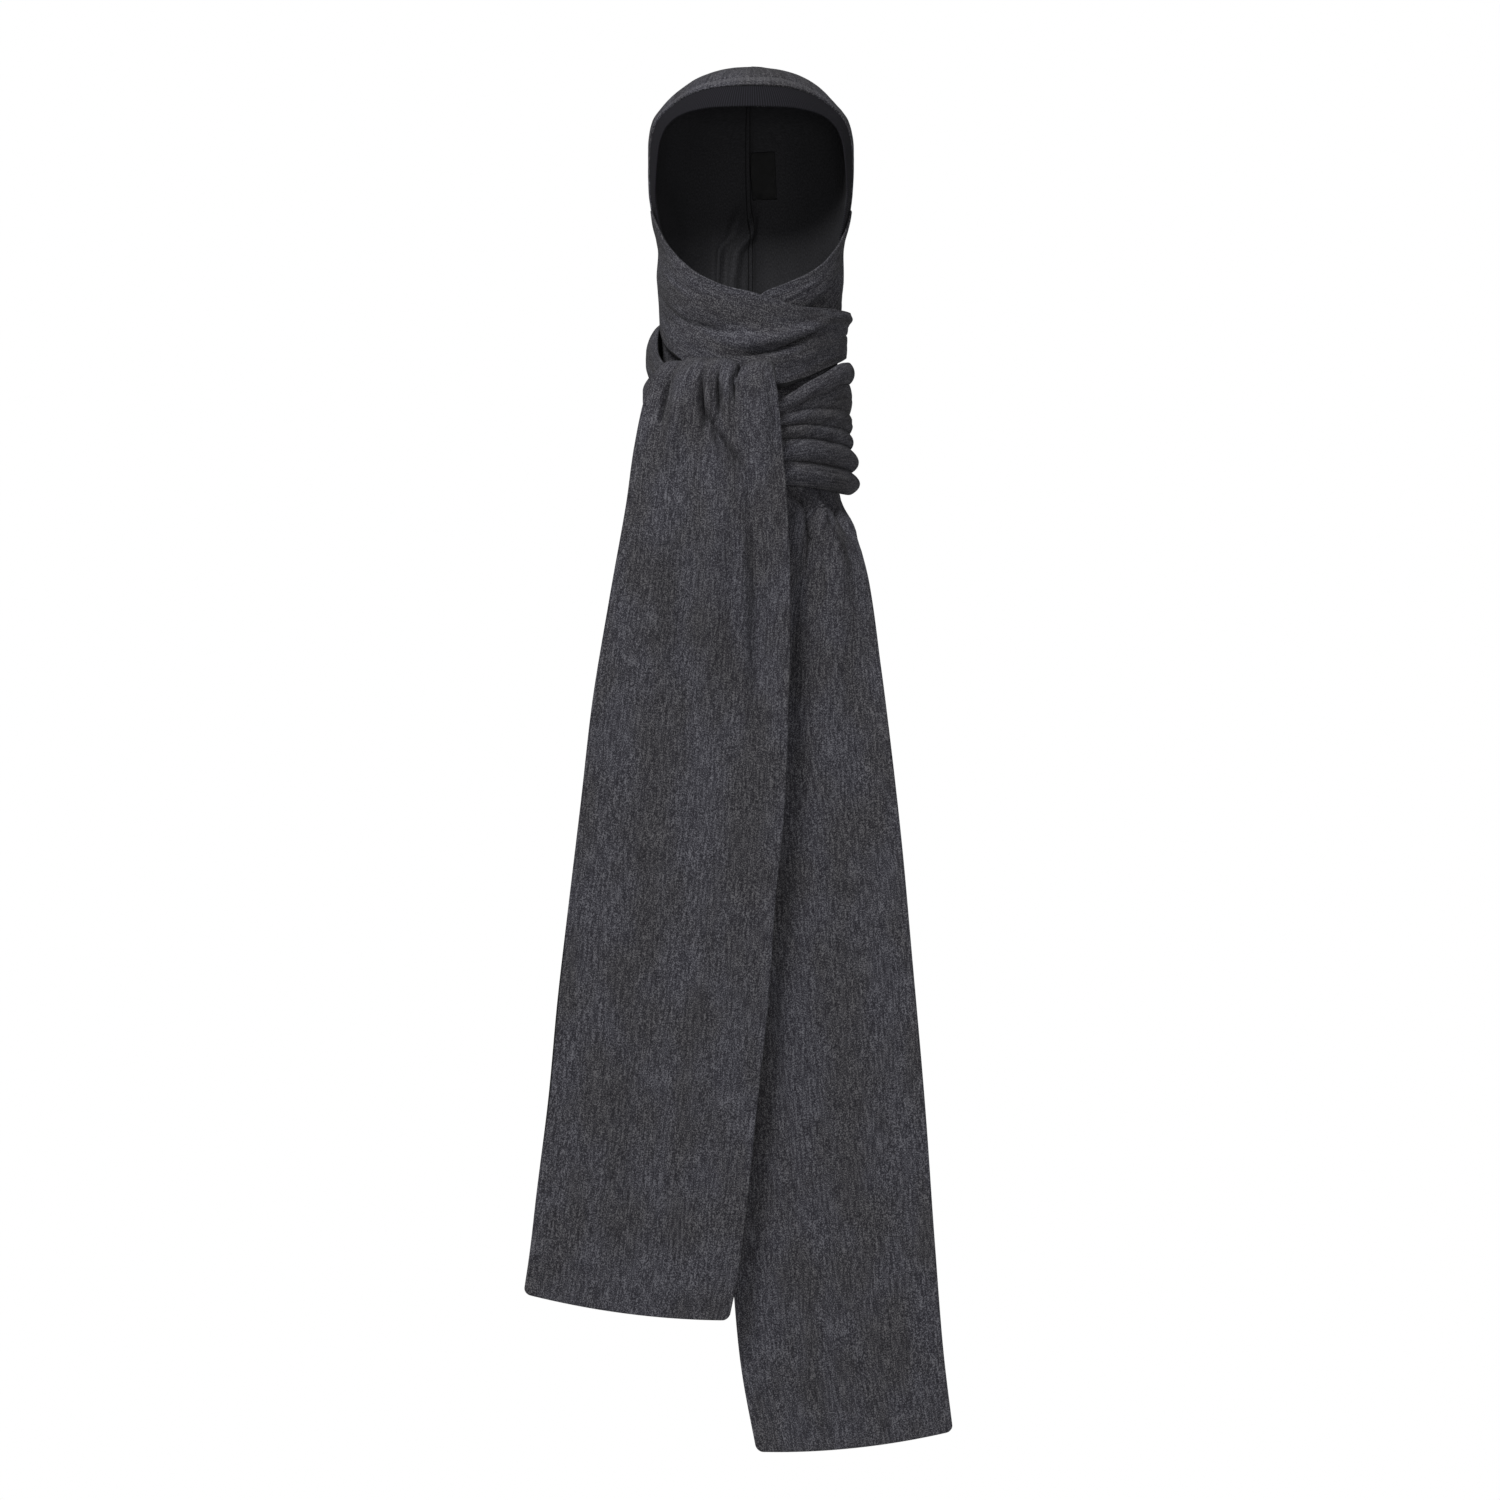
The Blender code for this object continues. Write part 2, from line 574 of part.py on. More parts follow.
def wrap_lines(wrap, across):
    """Lines of points across a strip along its wrap, with the turn of each line."""
    count = len(wrap["upper_turn"])
    place = np.arange(0.0, count - 0.99, 0.5)
    keys = np.arange(count, dtype=float)
    values = np.stack(list(wrap.values()), axis=-1)
    upper_turn, upper_level, upper_layer, lower_turn, lower_level, lower_layer = (
        through(keys, values, place).T[:, :, None]
    )
    s = np.linspace(0.0, 1.0, across + 1)[None, :]
    turn = upper_turn + (lower_turn - upper_turn) * s
    upper_drop = level_drop(upper_level)
    drop = upper_drop + (level_drop(lower_level) - upper_drop) * s
    layer = upper_layer + (lower_layer - upper_layer) * s
    return around(turn, drop, layer * LAYER), (upper_turn[:, 0] + lower_turn[:, 0]) / 2


def hang_lines(hang, top_drop, fall_length, across):
    """Lines of points across a strip along its hanging stretch."""
    s = np.linspace(0.0, 1.0, across + 1)[None, :]
    column = {name: values[:, None] for name, values in hang.items()}
    x = column["upper_x"] + (column["lower_x"] - column["upper_x"]) * s
    y = column["upper_y"] + (column["lower_y"] - column["upper_y"]) * s
    y = y + column["swell"] * 4 * s * (1 - s)
    z = SHELL_TOP + SHELL / 2 - top_drop - column["fall"] * fall_length
    lean = column["tilt"] * (x - (column["upper_x"] + column["lower_x"]) / 2)
    return np.stack(np.broadcast_arrays(x * TAIL_WIDTH, y * TAIL_WIDTH, z + lean * TAIL_WIDTH), axis=-1)


def strip_grid(wrap, hang, top_drop, fall_length, across):
    """Points of a whole strip, evenly spaced along it, with each line's turn and fall."""
    wound, turn = wrap_lines(wrap, across)
    hung = hang_lines(hang, top_drop, fall_length, across)
    lines = np.concatenate((wound, hung))
    turns = np.concatenate((turn, np.full(len(hung), turn[-1])))
    falls = np.concatenate((np.full(len(wound), BEFORE_FALL), hang["fall"]))
    middle = lines.mean(axis=1)
    length = np.concatenate(([0.0], np.cumsum(np.linalg.norm(np.diff(middle, axis=0), axis=1))))
    cell = np.where(falls[1:] < HANG_START, WRAP_CELL, HANG_CELL)
    knotted = (np.maximum.accumulate(-turns) > KNOT_TURN) & (falls < KNOT_FALL)
    cell = np.where(knotted[1:], KNOT_CELL, cell)
    cells = np.concatenate(([0.0], np.cumsum(np.diff(length) / cell)))
    marks = np.interp(np.linspace(0.0, cells[-1], round(cells[-1]) + 1), cells, length)
    points = through(length, lines, marks)
    return points, np.interp(marks, length, turns), np.interp(marks, length, falls)


def creases(rows, way, s):
    """Height of creases that cross the strip from one place to another along the way."""
    total = np.zeros(np.broadcast(way, s).shape)
    for start, end, start_place, end_place, half_width, height in zip(*rows.values()):
        share = (way - start) / (end - start)
        place = start_place + (end_place - start_place) * np.clip(share, 0.0, 1.0)
        total += height * CREASE_DEPTH * bump((s - place) / half_width) * bump(2 * share - 1)
    return total


def gathers(rows, share, s):
    """Height of puffed folds side by side: each is a rounded arch between its own two creases."""
    total = np.zeros(np.broadcast(share, s).shape)
    side = np.append(rows["side"], 1.0)
    knot = np.append(rows["knot"], 1.0)
    for k in range(len(rows["side"])):
        start = side[k] + (knot[k] - side[k]) * share
        end = side[k + 1] + (knot[k + 1] - side[k + 1]) * share
        height = rows["side_height"][k] + (rows["knot_height"][k] - rows["side_height"][k]) * share
        u = np.clip((s - start) / (end - start), 0.0, 1.0)
        total += height * GATHER_DEPTH * np.sin(math.pi * u) ** 0.8
    return total


def window(value, a, b, c, d):
    """0 up to a, 1 from b to c and 0 from d on, with soft ramps."""
    rise = np.clip((value - a) / (b - a), 0.0, 1.0)
    drop = np.clip((d - value) / (d - c), 0.0, 1.0)
    ramp = np.minimum(rise, drop)
    return (3 - 2 * ramp) * ramp * ramp


def left_relief(turn, fall, s):
    """Height of the left tail's folds over its middle surface."""
    wound = creases(LEFT_CREASES, turn, s)
    back_again = gathers(RETURN_FOLDS, np.interp(turn, RETURN_RUN, (0.0, 1.0)), s)
    hung = creases(LEFT_PLEATS, fall, s)
    return wound + back_again * window(turn, *RETURN_WINDOW) + hung * (fall > BEFORE_FALL)


def right_relief(turn, fall, s):
    """Height of the right tail's folds over its middle surface."""
    wound = creases(RIGHT_CREASES, turn, s)
    gathered = gathers(GATHERS, np.interp(-turn, GATHER_RUN, (0.0, 1.0)), s)
    hung = creases(RIGHT_PLEATS, fall, s)
    return wound + gathered * window(-turn, *GATHER_WINDOW) * (fall < 0) + hung * (fall > BEFORE_FALL)


def tail_points(wrap, hang, top_drop, fall_length, across, relief, facing):
    """Middle surface of a tail, with its folds raised along the side that faces outwards."""
    points, turn, fall = strip_grid(wrap, hang, top_drop, fall_length, across)
    normal = grid_normals(points) * facing
    s = np.linspace(0.0, 1.0, across + 1)[None, :]
    points = points + normal * relief(turn[:, None], fall[:, None], s)[..., None]
    return points, grid_normals(points) * facing


def seam_gap(wrap):
    """The wrap's table with its first row a gap ahead of the hood's side seam."""
    gap = math.degrees(SIDE_SEAM / (HOOD_WIDTH / 2))
    moved = {name: values.copy() for name, values in wrap.items()}
    ahead = math.copysign(gap, wrap["upper_turn"][0])
    moved["upper_turn"][0] -= ahead
    moved["lower_turn"][0] -= ahead
    moved["lower_level"][0] = (HOOD_HEIGHT - CHIN_DROP) / WRAP_HEIGHT
    return moved


def build_left_tail(skin):
    """The tail on the viewer's left: over at the chin, once round, and down at the right."""
    top_drop = level_drop(SIDE_TAIL_LEVEL)
    points, normal = tail_points(
        seam_gap(LEFT_WRAP), LEFT_HANG, top_drop, SIDE_TAIL_FALL, LEFT_ACROSS, left_relief, -1.0
    )
    cloth("left_tail", points, normal, -TAIL_CLOTH / 2, TAIL_CLOTH / 2, skin)


def build_right_tail(skin):
    """The tail on the viewer's right: under at the chin, once round, through the knot and down."""
    top_drop = level_drop(FRONT_TAIL_LEVEL)
    points, normal = tail_points(
        seam_gap(RIGHT_WRAP), RIGHT_HANG, top_drop, FRONT_TAIL_FALL, RIGHT_ACROSS, right_relief, 1.0
    )
    cloth("right_tail", points, normal, -TAIL_CLOTH / 2, TAIL_CLOTH / 2, skin)


def main():
    """Clear the scene and build each sub-part."""
    for item in list(bpy.data.objects):
        bpy.data.objects.remove(item)
    grey = material("grey_melange_knit", (0.048, 0.046, 0.054), 0.95)
    black = material("black_lining", (0.008, 0.008, 0.009), 0.85)
    navy = material("dark_rib_band", (0.015, 0.014, 0.019), 0.9)
    satin = material("black_label", (0.006, 0.006, 0.006), 0.45)
    build_hood(grey, black)
    build_band(navy)
    build_label(satin)
    build_left_tail(grey)
    build_right_tail(grey)


main()
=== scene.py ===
"""Hooded scarf, worn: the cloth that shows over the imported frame.

Metres, +Z up, +X at the viewer's right, the face opening towards -Y. Every piece is a surface
worked out with numpy on a grid of two parameters, and stands for one solid of the frame.
"""

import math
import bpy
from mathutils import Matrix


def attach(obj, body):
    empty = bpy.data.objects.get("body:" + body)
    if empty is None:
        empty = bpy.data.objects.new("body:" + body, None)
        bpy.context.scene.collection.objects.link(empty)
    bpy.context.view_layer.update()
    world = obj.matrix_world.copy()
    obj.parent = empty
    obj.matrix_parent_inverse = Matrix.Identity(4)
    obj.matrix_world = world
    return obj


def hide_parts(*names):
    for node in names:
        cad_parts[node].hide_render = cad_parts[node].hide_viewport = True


bl_info = {
    "name": "Hooded scarf",
    "version": (1, 0, 0),
    "blender": (4, 5, 0),
    "location": "View3D > Sidebar > Scarf",
    "description": "Builds a worn hooded scarf of melange knit over its fixed frame",
    "category": "Add Mesh",
}

import bmesh
import bpy
import numpy as np

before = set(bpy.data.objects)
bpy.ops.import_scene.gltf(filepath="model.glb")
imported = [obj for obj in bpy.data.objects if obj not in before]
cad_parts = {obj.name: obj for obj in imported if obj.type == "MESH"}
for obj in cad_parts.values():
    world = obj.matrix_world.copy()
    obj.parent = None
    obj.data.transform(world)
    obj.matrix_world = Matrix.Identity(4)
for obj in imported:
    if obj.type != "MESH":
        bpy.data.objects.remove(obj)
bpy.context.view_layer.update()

# Angles round the form in degrees: 0 at the front, positive to the viewer's right
TEMPLE_TURN = 88.0
SIDE_TURN = 98.0
BAND_STOP = 0.4
BAND_TUCK = 0.04


def table(names, *rows):
    """Columns of a table by name, from rows of numbers."""
    return dict(zip(names.split(), np.array(rows, dtype=float).T))


# Level sections of the worn form: drop in shares of HOOD_HEIGHT, side in shares of half the
# hood's width, front and back in shares of HOOD_FRONT and HOOD_BACK
SECTIONS = table(
    "drop side front back",
    (0.000, 0.00, 0.00, 0.00),
    (0.006, 0.21, 0.30, 0.22),
    (0.024, 0.41, 0.55, 0.40),
    (0.047, 0.54, 0.70, 0.54),
    (0.072, 0.63, 0.80, 0.64),
    (0.118, 0.772, 0.88, 0.77),
    (0.165, 0.875, 0.93, 0.86),
    (0.212, 0.955, 0.96, 0.93),
    (0.260, 0.985, 0.98, 0.97),
    (0.330, 1.00, 1.00, 1.00),
    (0.490, 0.995, 1.00, 0.99),
    (0.610, 0.96, 0.99, 0.92),
    (0.685, 0.915, 0.97, 0.85),
    (0.740, 0.895, 0.96, 0.80),
    (0.820, 0.900, 0.95, 0.765),
    (0.920, 0.880, 0.93, 0.735),
    (1.050, 0.860, 0.915, 0.72),
    (1.750, 0.855, 0.915, 0.72),
)

# Front edge of the hood from the forehead to the temple: drop in shares of TEMPLE_DROP
ARCH = table(
    "turn drop",
    (0.0, 0.140),
    (25.0, 0.147),
    (40.0, 0.168),
    (50.0, 0.196),
    (58.0, 0.238),
    (68.0, 0.325),
    (75.0, 0.440),
    (80.0, 0.600),
    (84.0, 0.780),
    (88.0, 1.000),
)

# Above its edge, over this share of HOOD_HEIGHT, the hood's dents fade out
EDGE_FADE = 0.1

# Where the folds of a wrap begin, stand full and end, and where they run from the side of
# the wrap to the knot, in degrees along its tail
RETURN_WINDOW = (225.0, 258.0, 282.0, 310.0)
RETURN_RUN = (255.0, 300.0)
GATHER_WINDOW = (195.0, 262.0, 350.0, 385.0)
GATHER_RUN = (270.0, 345.0)

# Soft dents and swellings of the hood: place, spread in degrees and in shares of HOOD_HEIGHT,
# and height in shares of CREASE_DEPTH
HOOD_FOLDS = table(
    "turn drop wide tall height",
    (52.0, 0.06, 16.0, 0.05, 0.45),
    (66.0, 0.15, 9.0, 0.03, -0.12),
    (84.0, 0.072, 9.0, 0.018, 0.35),
    (86.0, 0.135, 7.0, 0.018, -0.60),
    (188.0, 0.80, 9.0, 0.22, -1.30),
    (170.0, 0.84, 8.0, 0.16, 0.55),
    (206.0, 0.76, 9.0, 0.20, 0.60),
    (120.0, 0.62, 20.0, 0.10, -0.50),
    (236.0, 0.60, 20.0, 0.10, -0.50),
)

# Each row of a wrap is a line across the strip, from its upper to its lower edge. A level is -1
# at the temple, 0 at the chin and 1 at the lowest gather, and a layer counts cloths outwards.
WRAP_COLUMNS = "upper_turn upper_level upper_layer lower_turn lower_level lower_layer"
LEFT_WRAP = table(
    WRAP_COLUMNS,
    (-88.0, -1.00, 0.0, -98.0, 0.14, 0.0),
    (-75.0, -0.88, 0.4, -82.0, 0.19, 0.8),
    (-60.0, -0.59, 1.2, -62.0, 0.28, 1.5),
    (-45.0, -0.38, 1.8, -45.0, 0.34, 1.9),
    (-30.0, -0.20, 2.0, -30.0, 0.39, 2.0),
    (-15.0, -0.07, 2.0, -15.0, 0.43, 2.0),
    (0.0, 0.00, 2.0, 0.0, 0.47, 2.0),
    (15.0, 0.04, 2.0, 15.0, 0.48, 2.0),
    (30.0, 0.07, 2.0, 30.0, 0.44, 2.0),
    (50.0, 0.08, 1.9, 50.0, 0.38, 1.8),
    (70.0, 0.09, 2.1, 70.0, 0.34, 1.9),
    (90.0, 0.10, 2.3, 90.0, 0.32, 1.8),
    (120.0, 0.10, 1.9, 120.0, 0.33, 1.6),
    (150.0, 0.10, 1.6, 150.0, 0.36, 1.6),
    (180.0, 0.11, 2.0, 180.0, 0.40, 2.1),
    (210.0, 0.13, 2.1, 210.0, 0.44, 2.2),
    (240.0, 0.14, 1.7, 240.0, 0.49, 2.9),
    (265.0, 0.17, 0.8, 265.0, 0.55, 4.3),
    (285.0, 0.22, 2.2, 285.0, 0.58, 4.9),
    (298.0, 0.30, 4.6, 298.0, 0.60, 5.2),
    (309.0, 0.36, 5.7, 308.0, 0.61, 5.8),
    (319.0, 0.405, 6.1, 316.0, 0.61, 6.0),
    (333.0, 0.41, 6.0, 324.0, 0.64, 6.0),
    (347.0, 0.41, 5.9, 331.0, 0.70, 5.9),
    (362.0, 0.44, 5.6, 338.0, 0.78, 5.9),
    (379.0, 0.52, 5.0, 347.0, 0.86, 5.8),
    (397.0, 0.63, 3.2, 356.0, 0.92, 5.4),
    (411.0, 0.76, 2.1, 364.0, 0.97, 4.9),
    (422.0, 0.90, 2.1, 370.0, 1.01, 4.6),
    (429.0, 1.01, 2.3, 374.0, 1.05, 4.4),
)
RIGHT_WRAP = table(
    WRAP_COLUMNS,
    (88.0, -1.00, 0.0, 98.0, 0.14, 0.0),
    (77.0, -0.68, 0.0, 84.0, 0.30, 0.0),
    (62.0, -0.47, 0.0, 68.0, 0.42, 0.0),
    (48.0, -0.31, 0.0, 50.0, 0.48, 0.0),
    (34.0, -0.19, 0.0, 34.0, 0.50, 0.0),
    (18.0, -0.07, 0.0, 18.0, 0.52, 0.0),
    (0.0, 0.05, 0.0, 0.0, 0.55, 0.0),
    (-20.0, 0.08, 0.0, -20.0, 0.57, 0.0),
    (-45.0, 0.12, 0.0, -45.0, 0.59, 0.0),
    (-70.0, 0.17, 0.0, -70.0, 0.60, 0.0),
    (-90.0, 0.20, 0.0, -90.0, 0.61, 0.0),
    (-120.0, 0.23, 0.0, -120.0, 0.68, 0.1),
    (-150.0, 0.28, 0.0, -150.0, 0.78, 0.3),
    (-180.0, 0.36, 0.3, -180.0, 0.86, 0.8),
    (-210.0, 0.39, 1.0, -210.0, 0.92, 1.2),
    (-240.0, 0.36, 1.7, -240.0, 0.97, 1.7),
    (-265.0, 0.345, 2.2, -265.0, 0.985, 2.2),
    (-285.0, 0.345, 2.6, -285.0, 0.98, 2.6),
    (-300.0, 0.355, 3.3, -300.0, 0.975, 3.3),
    (-315.0, 0.40, 4.2, -315.0, 0.965, 4.3),
    (-330.0, 0.45, 5.5, -330.0, 0.95, 5.6),
    (-344.0, 0.52, 7.0, -344.0, 0.94, 7.0),
    (-359.0, 0.56, 7.8, -359.0, 0.94, 7.8),
    (-375.0, 0.59, 8.0, -375.0, 0.95, 8.0),
    (-389.0, 0.65, 8.0, -389.0, 0.975, 8.0),
    (-398.0, 0.685, 7.5, -398.0, 0.99, 7.5),
    (-402.0, 0.69, 5.9, -402.0, 0.99, 5.9),
    (-398.0, 0.685, 4.3, -397.0, 0.99, 4.3),
    (-391.0, 0.63, 3.7, -387.0, 0.97, 3.7),
    (-390.0, 0.59, 3.7, -370.0, 0.93, 3.7),
    (-392.0, 0.54, 3.7, -357.0, 0.84, 3.7),
    (-396.0, 0.48, 3.7, -349.0, 0.70, 3.7),
    (-400.0, 0.42, 3.7, -348.0, 0.54, 3.7),
    (-405.0, 0.375, 3.6, -348.0, 0.42, 3.7),
)

# Each row of a hanging tail is a line between the edge that was uppermost in the wrap and the
# other one. Fall is a share of the tail's fall; x, y, swell and tilt are shares of TAIL_WIDTH.
HANG_COLUMNS = "fall upper_x upper_y lower_x lower_y swell tilt"
LEFT_HANG = table(
    HANG_COLUMNS,
    (0.030, 0.500, -0.260, 0.100, -0.490, -0.08, 0.00),
    (0.065, 0.546, -0.330, 0.035, -0.480, -0.07, 0.00),
    (0.110, 0.587, -0.375, -0.068, -0.465, -0.05, 0.00),
    (0.180, 0.631, -0.400, -0.170, -0.455, -0.02, 0.00),
    (0.260, 0.677, -0.435, -0.243, -0.450, 0.00, 0.00),
    (0.360, 0.728, -0.440, -0.257, -0.445, 0.00, 0.01),
    (0.500, 0.786, -0.440, -0.204, -0.440, 0.00, 0.02),
    (0.650, 0.845, -0.440, -0.150, -0.440, 0.00, 0.04),
    (0.800, 0.893, -0.440, -0.097, -0.440, 0.00, 0.06),
    (0.920, 0.937, -0.440, -0.044, -0.440, 0.00, 0.075),
    (1.000, 0.980, -0.440, 0.027, -0.440, 0.00, 0.105),
)
RIGHT_HANG = table(
    HANG_COLUMNS,
    (0.0030, -0.375, -0.335, 0.117, -0.510, -0.055, 0.00),
    (0.0000, -0.405, -0.410, 0.117, -0.550, -0.06, 0.00),
    (0.0040, -0.430, -0.470, 0.117, -0.590, -0.07, 0.00),
    (0.0170, -0.480, -0.520, 0.119, -0.612, -0.075, 0.00),
    (0.0410, -0.515, -0.545, 0.131, -0.620, -0.075, 0.00),
    (0.0950, -0.568, -0.570, 0.155, -0.620, -0.065, 0.00),
    (0.1480, -0.602, -0.590, 0.175, -0.620, -0.050, 0.00),
    (0.2500, -0.684, -0.600, 0.192, -0.615, -0.020, 0.00),
    (0.3600, -0.767, -0.595, 0.184, -0.600, 0.000, -0.01),
    (0.4700, -0.825, -0.595, 0.165, -0.595, 0.000, -0.015),
    (0.5700, -0.879, -0.595, 0.119, -0.595, 0.000, -0.03),
    (0.6800, -0.937, -0.595, 0.083, -0.595, 0.000, -0.04),
    (0.7850, -0.981, -0.595, 0.029, -0.595, 0.000, -0.06),
    (0.8900, -1.039, -0.595, -0.022, -0.595, 0.000, -0.09),
    (0.9600, -1.075, -0.595, -0.068, -0.595, 0.000, -0.12),
    (1.0000, -1.102, -0.595, -0.107, -0.595, 0.000, -0.130),
)

# Puffed folds of the gathers: where each fold starts across the strip, at the side and at the
# knot, and its height there in shares of GATHER_DEPTH
GATHERS = table(
    "side knot side_height knot_height",
    (0.00, 0.00, 0.75, 0.70),
    (0.16, 0.15, 0.40, 0.20),
    (0.40, 0.19, 0.50, 0.80),
    (0.55, 0.32, 0.65, 0.80),
    (0.67, 0.47, 1.20, 1.05),
    (0.84, 0.73, 1.30, 1.05),
)
RETURN_FOLDS = table(
    "side knot side_height knot_height",
    (0.00, 0.00, 1.25, 0.30),
    (0.64, 0.60, 0.85, 0.30),
)

# Long creases of the wraps: from one turn to another, places across the strip at both, half
# width across it, and height in shares of CREASE_DEPTH
CREASE_COLUMNS = "start end start_place end_place half_width height"
LEFT_CREASES = table(
    CREASE_COLUMNS,
    (-75.0, 24.0, 0.80, 0.24, 0.17, -0.65),
    (-18.0, 66.0, 0.76, 0.26, 0.10, -0.90),
    (-24.0, 70.0, 0.66, 0.10, 0.11, 1.10),
    (-60.0, 80.0, 0.42, 0.62, 0.30, 0.45),
    (20.0, 150.0, 0.12, 0.12, 0.14, 0.60),
    (100.0, 250.0, 0.50, 0.45, 0.16, -0.60),
)
RIGHT_CREASES = table(
    CREASE_COLUMNS,
    (96.0, 14.0, 0.28, 0.43, 0.17, -1.15),
    (-100.0, -240.0, 0.35, 0.45, 0.12, -0.60),
    (-120.0, -250.0, 0.70, 0.75, 0.12, -0.60),
)

# Pleats of the hanging tails: the same columns, with falls in place of turns
LEFT_PLEATS = table(
    CREASE_COLUMNS,
    (-0.02, 0.16, 0.52, 0.46, 0.15, -0.95),
    (-0.02, 0.20, 0.28, 0.20, 0.13, 0.80),
    (-0.02, 0.22, 0.72, 0.70, 0.13, 0.75),
    (-0.02, 0.12, 0.92, 0.95, 0.10, -0.70),
    (-0.045, 0.085, 0.88, 0.28, 0.070, -2.00),
    (-0.045, 0.060, 0.57, -0.05, 0.065, -2.00),
    (-0.045, 0.090, 0.74, 0.09, 0.055, 1.80),
    (0.02, 0.34, 0.62, 0.50, 0.09, -1.00),
    (0.02, 0.50, 0.28, 0.30, 0.12, 0.70),
    (0.10, 0.80, 0.40, 0.45, 0.22, -0.55),
    (0.30, 1.20, 0.75, 0.78, 0.20, 0.40),
)
RIGHT_PLEATS = table(
    CREASE_COLUMNS,
    (-0.01, 0.06, 0.13, 0.15, 0.09, -0.90),
    (0.025, 0.155, 0.32, 0.88, 0.065, -2.40),
    (0.070, 0.460, 0.76, 0.88, 0.090, -2.00),
    (0.060, 0.420, 0.52, 0.62, 0.120, 1.30),
    (0.000, 0.080, 0.53, 0.60, 0.050, -1.30),
    (-0.010, 0.060, 0.66, 0.68, 0.040, -0.60),
    (0.000, 0.130, 0.27, 0.24, 0.080, 1.10),
    (0.000, 0.080, 0.45, 0.50, 0.035, 0.80),
    (0.000, 0.080, 0.60, 0.62, 0.035, 0.80),
    (-0.01, 0.12, 0.30, 0.32, 0.14, 0.60),
    (0.05, 0.55, 0.20, 0.68, 0.15, -1.10),
    (0.35, 1.10, 0.30, 0.50, 0.16, -0.60),
    (0.40, 1.20, 0.28, 0.32, 0.20, 0.45),
)


# Finer creases that only the cloth shows, with the columns of the creases above
LEFT_WRINKLES = table(
    CREASE_COLUMNS,
    (-20.0, 64.0, 0.80, 0.22, 0.030, -1.10),
    (-10.0, 50.0, 0.80, 0.36, 0.060, 0.35),
    (-62.0, 12.0, 0.66, 0.40, 0.070, -0.30),
    (-70.0, -10.0, 0.30, 0.16, 0.050, -0.18),
    (-80.0, -30.0, 0.55, 0.62, 0.060, -0.22),
    (60.0, 130.0, 0.60, 0.35, 0.060, -0.35),
    (120.0, 215.0, 0.70, 0.55, 0.060, -0.35),
    (200.0, 262.0, 0.35, 0.25, 0.050, -0.30),
)
RIGHT_WRINKLES = table(
    CREASE_COLUMNS,
    (84.0, 24.0, 0.24, 0.38, 0.060, -0.70),
    (84.0, 30.0, 0.40, 0.52, 0.060, -0.40),
    (60.0, 15.0, 0.10, 0.13, 0.040, 0.20),
    (-70.0, -160.0, 0.55, 0.45, 0.060, -0.40),
    (-150.0, -250.0, 0.20, 0.30, 0.060, -0.40),
    (-255.0, -330.0, 0.48, 0.40, 0.030, -0.35),
    (-262.0, -318.0, 0.28, 0.24, 0.030, -0.30),
    (-275.0, -340.0, 0.90, 0.84, 0.025, -0.25),
)
LEFT_PLEAT_WRINKLES = table(
    CREASE_COLUMNS,
    (-0.02, 0.10, 0.55, 0.50, 0.040, -0.55),
    (-0.02, 0.14, 0.38, 0.33, 0.045, -0.40),
    (0.01, 0.20, 0.64, 0.58, 0.050, 0.35),
    (0.15, 0.62, 0.30, 0.36, 0.120, -0.16),
    (0.35, 1.05, 0.62, 0.55, 0.140, 0.14),
    (0.50, 1.20, 0.20, 0.24, 0.120, -0.12),
)
RIGHT_PLEAT_WRINKLES = table(
    CREASE_COLUMNS,
    (-0.006, 0.100, 0.380, 0.49, 0.040, -2.20),
    (0.040, 0.140, 0.430, 0.68, 0.050, -0.90),
    (-0.002, 0.075, 0.520, 0.57, 0.030, -1.40),
    (0.000, 0.085, 0.125, 0.16, 0.034, -1.90),
    (0.004, 0.055, 0.668, 0.68, 0.024, -1.50),
    (-0.010, 0.120, 0.850, 0.88, 0.110, 1.00),
    (-0.004, 0.050, 0.30, 0.31, 0.050, 0.25),
    (0.02, 0.20, 0.60, 0.74, 0.070, -0.30),
    (0.20, 0.70, 0.32, 0.44, 0.110, -0.14),
    (0.35, 1.10, 0.62, 0.70, 0.130, 0.14),
    (0.55, 1.20, 0.20, 0.26, 0.120, -0.12),
)

# The deep crease in the lining's back: drops below the crown and how far aside it then is, in metres
LINING_CREASE = (
    (0.120, 0.133, 0.147, 0.171, 0.187, 0.215, 0.250),
    (-0.007, -0.002, 0.006, 0.014, 0.030, 0.034, 0.035),
)

# Ridges and folds of the lining's back, in metres: middle, half width and height. The two sides of
# the deep crease count from it, and the windows say between which drops a fold shows.
BACK_SEAM = ((0.0020, 0.0014, 0.0012), (0.0068, 0.0014, 0.0010), (0.0044, 0.0030, -0.0006))
CREASE_SIDES = ((-0.0095, 0.009, 0.008), (0.0100, 0.010, 0.006))
CREASE_WINDOW = (0.122, 0.160, 0.27, 0.31)
SLANTING_FOLD = ((0.045, 0.012, 0.004),)
SLANTING_WINDOW = (0.14, 0.20, 0.26, 0.30)
SMALL_FOLD = ((-0.032, 0.007, 0.0022),)
LINING_SINK = 0.0013

# How far the front tail's upper edge sags where it rolls over, in metres, by place across it
FRONT_TOP = table(
    "place lift",
    (0.000, -0.0040),
    (0.200, -0.0005),
    (0.364, 0.0000),
    (0.523, -0.0005),
    (0.600, -0.0030),
    (0.640, -0.0060),
    (0.672, -0.0200),
    (0.706, -0.0080),
    (0.740, -0.0055),
    (0.794, -0.0035),
    (0.900, -0.0025),
    (0.955, -0.0050),
    (0.980, -0.0100),
    (1.000, -0.0190),
)

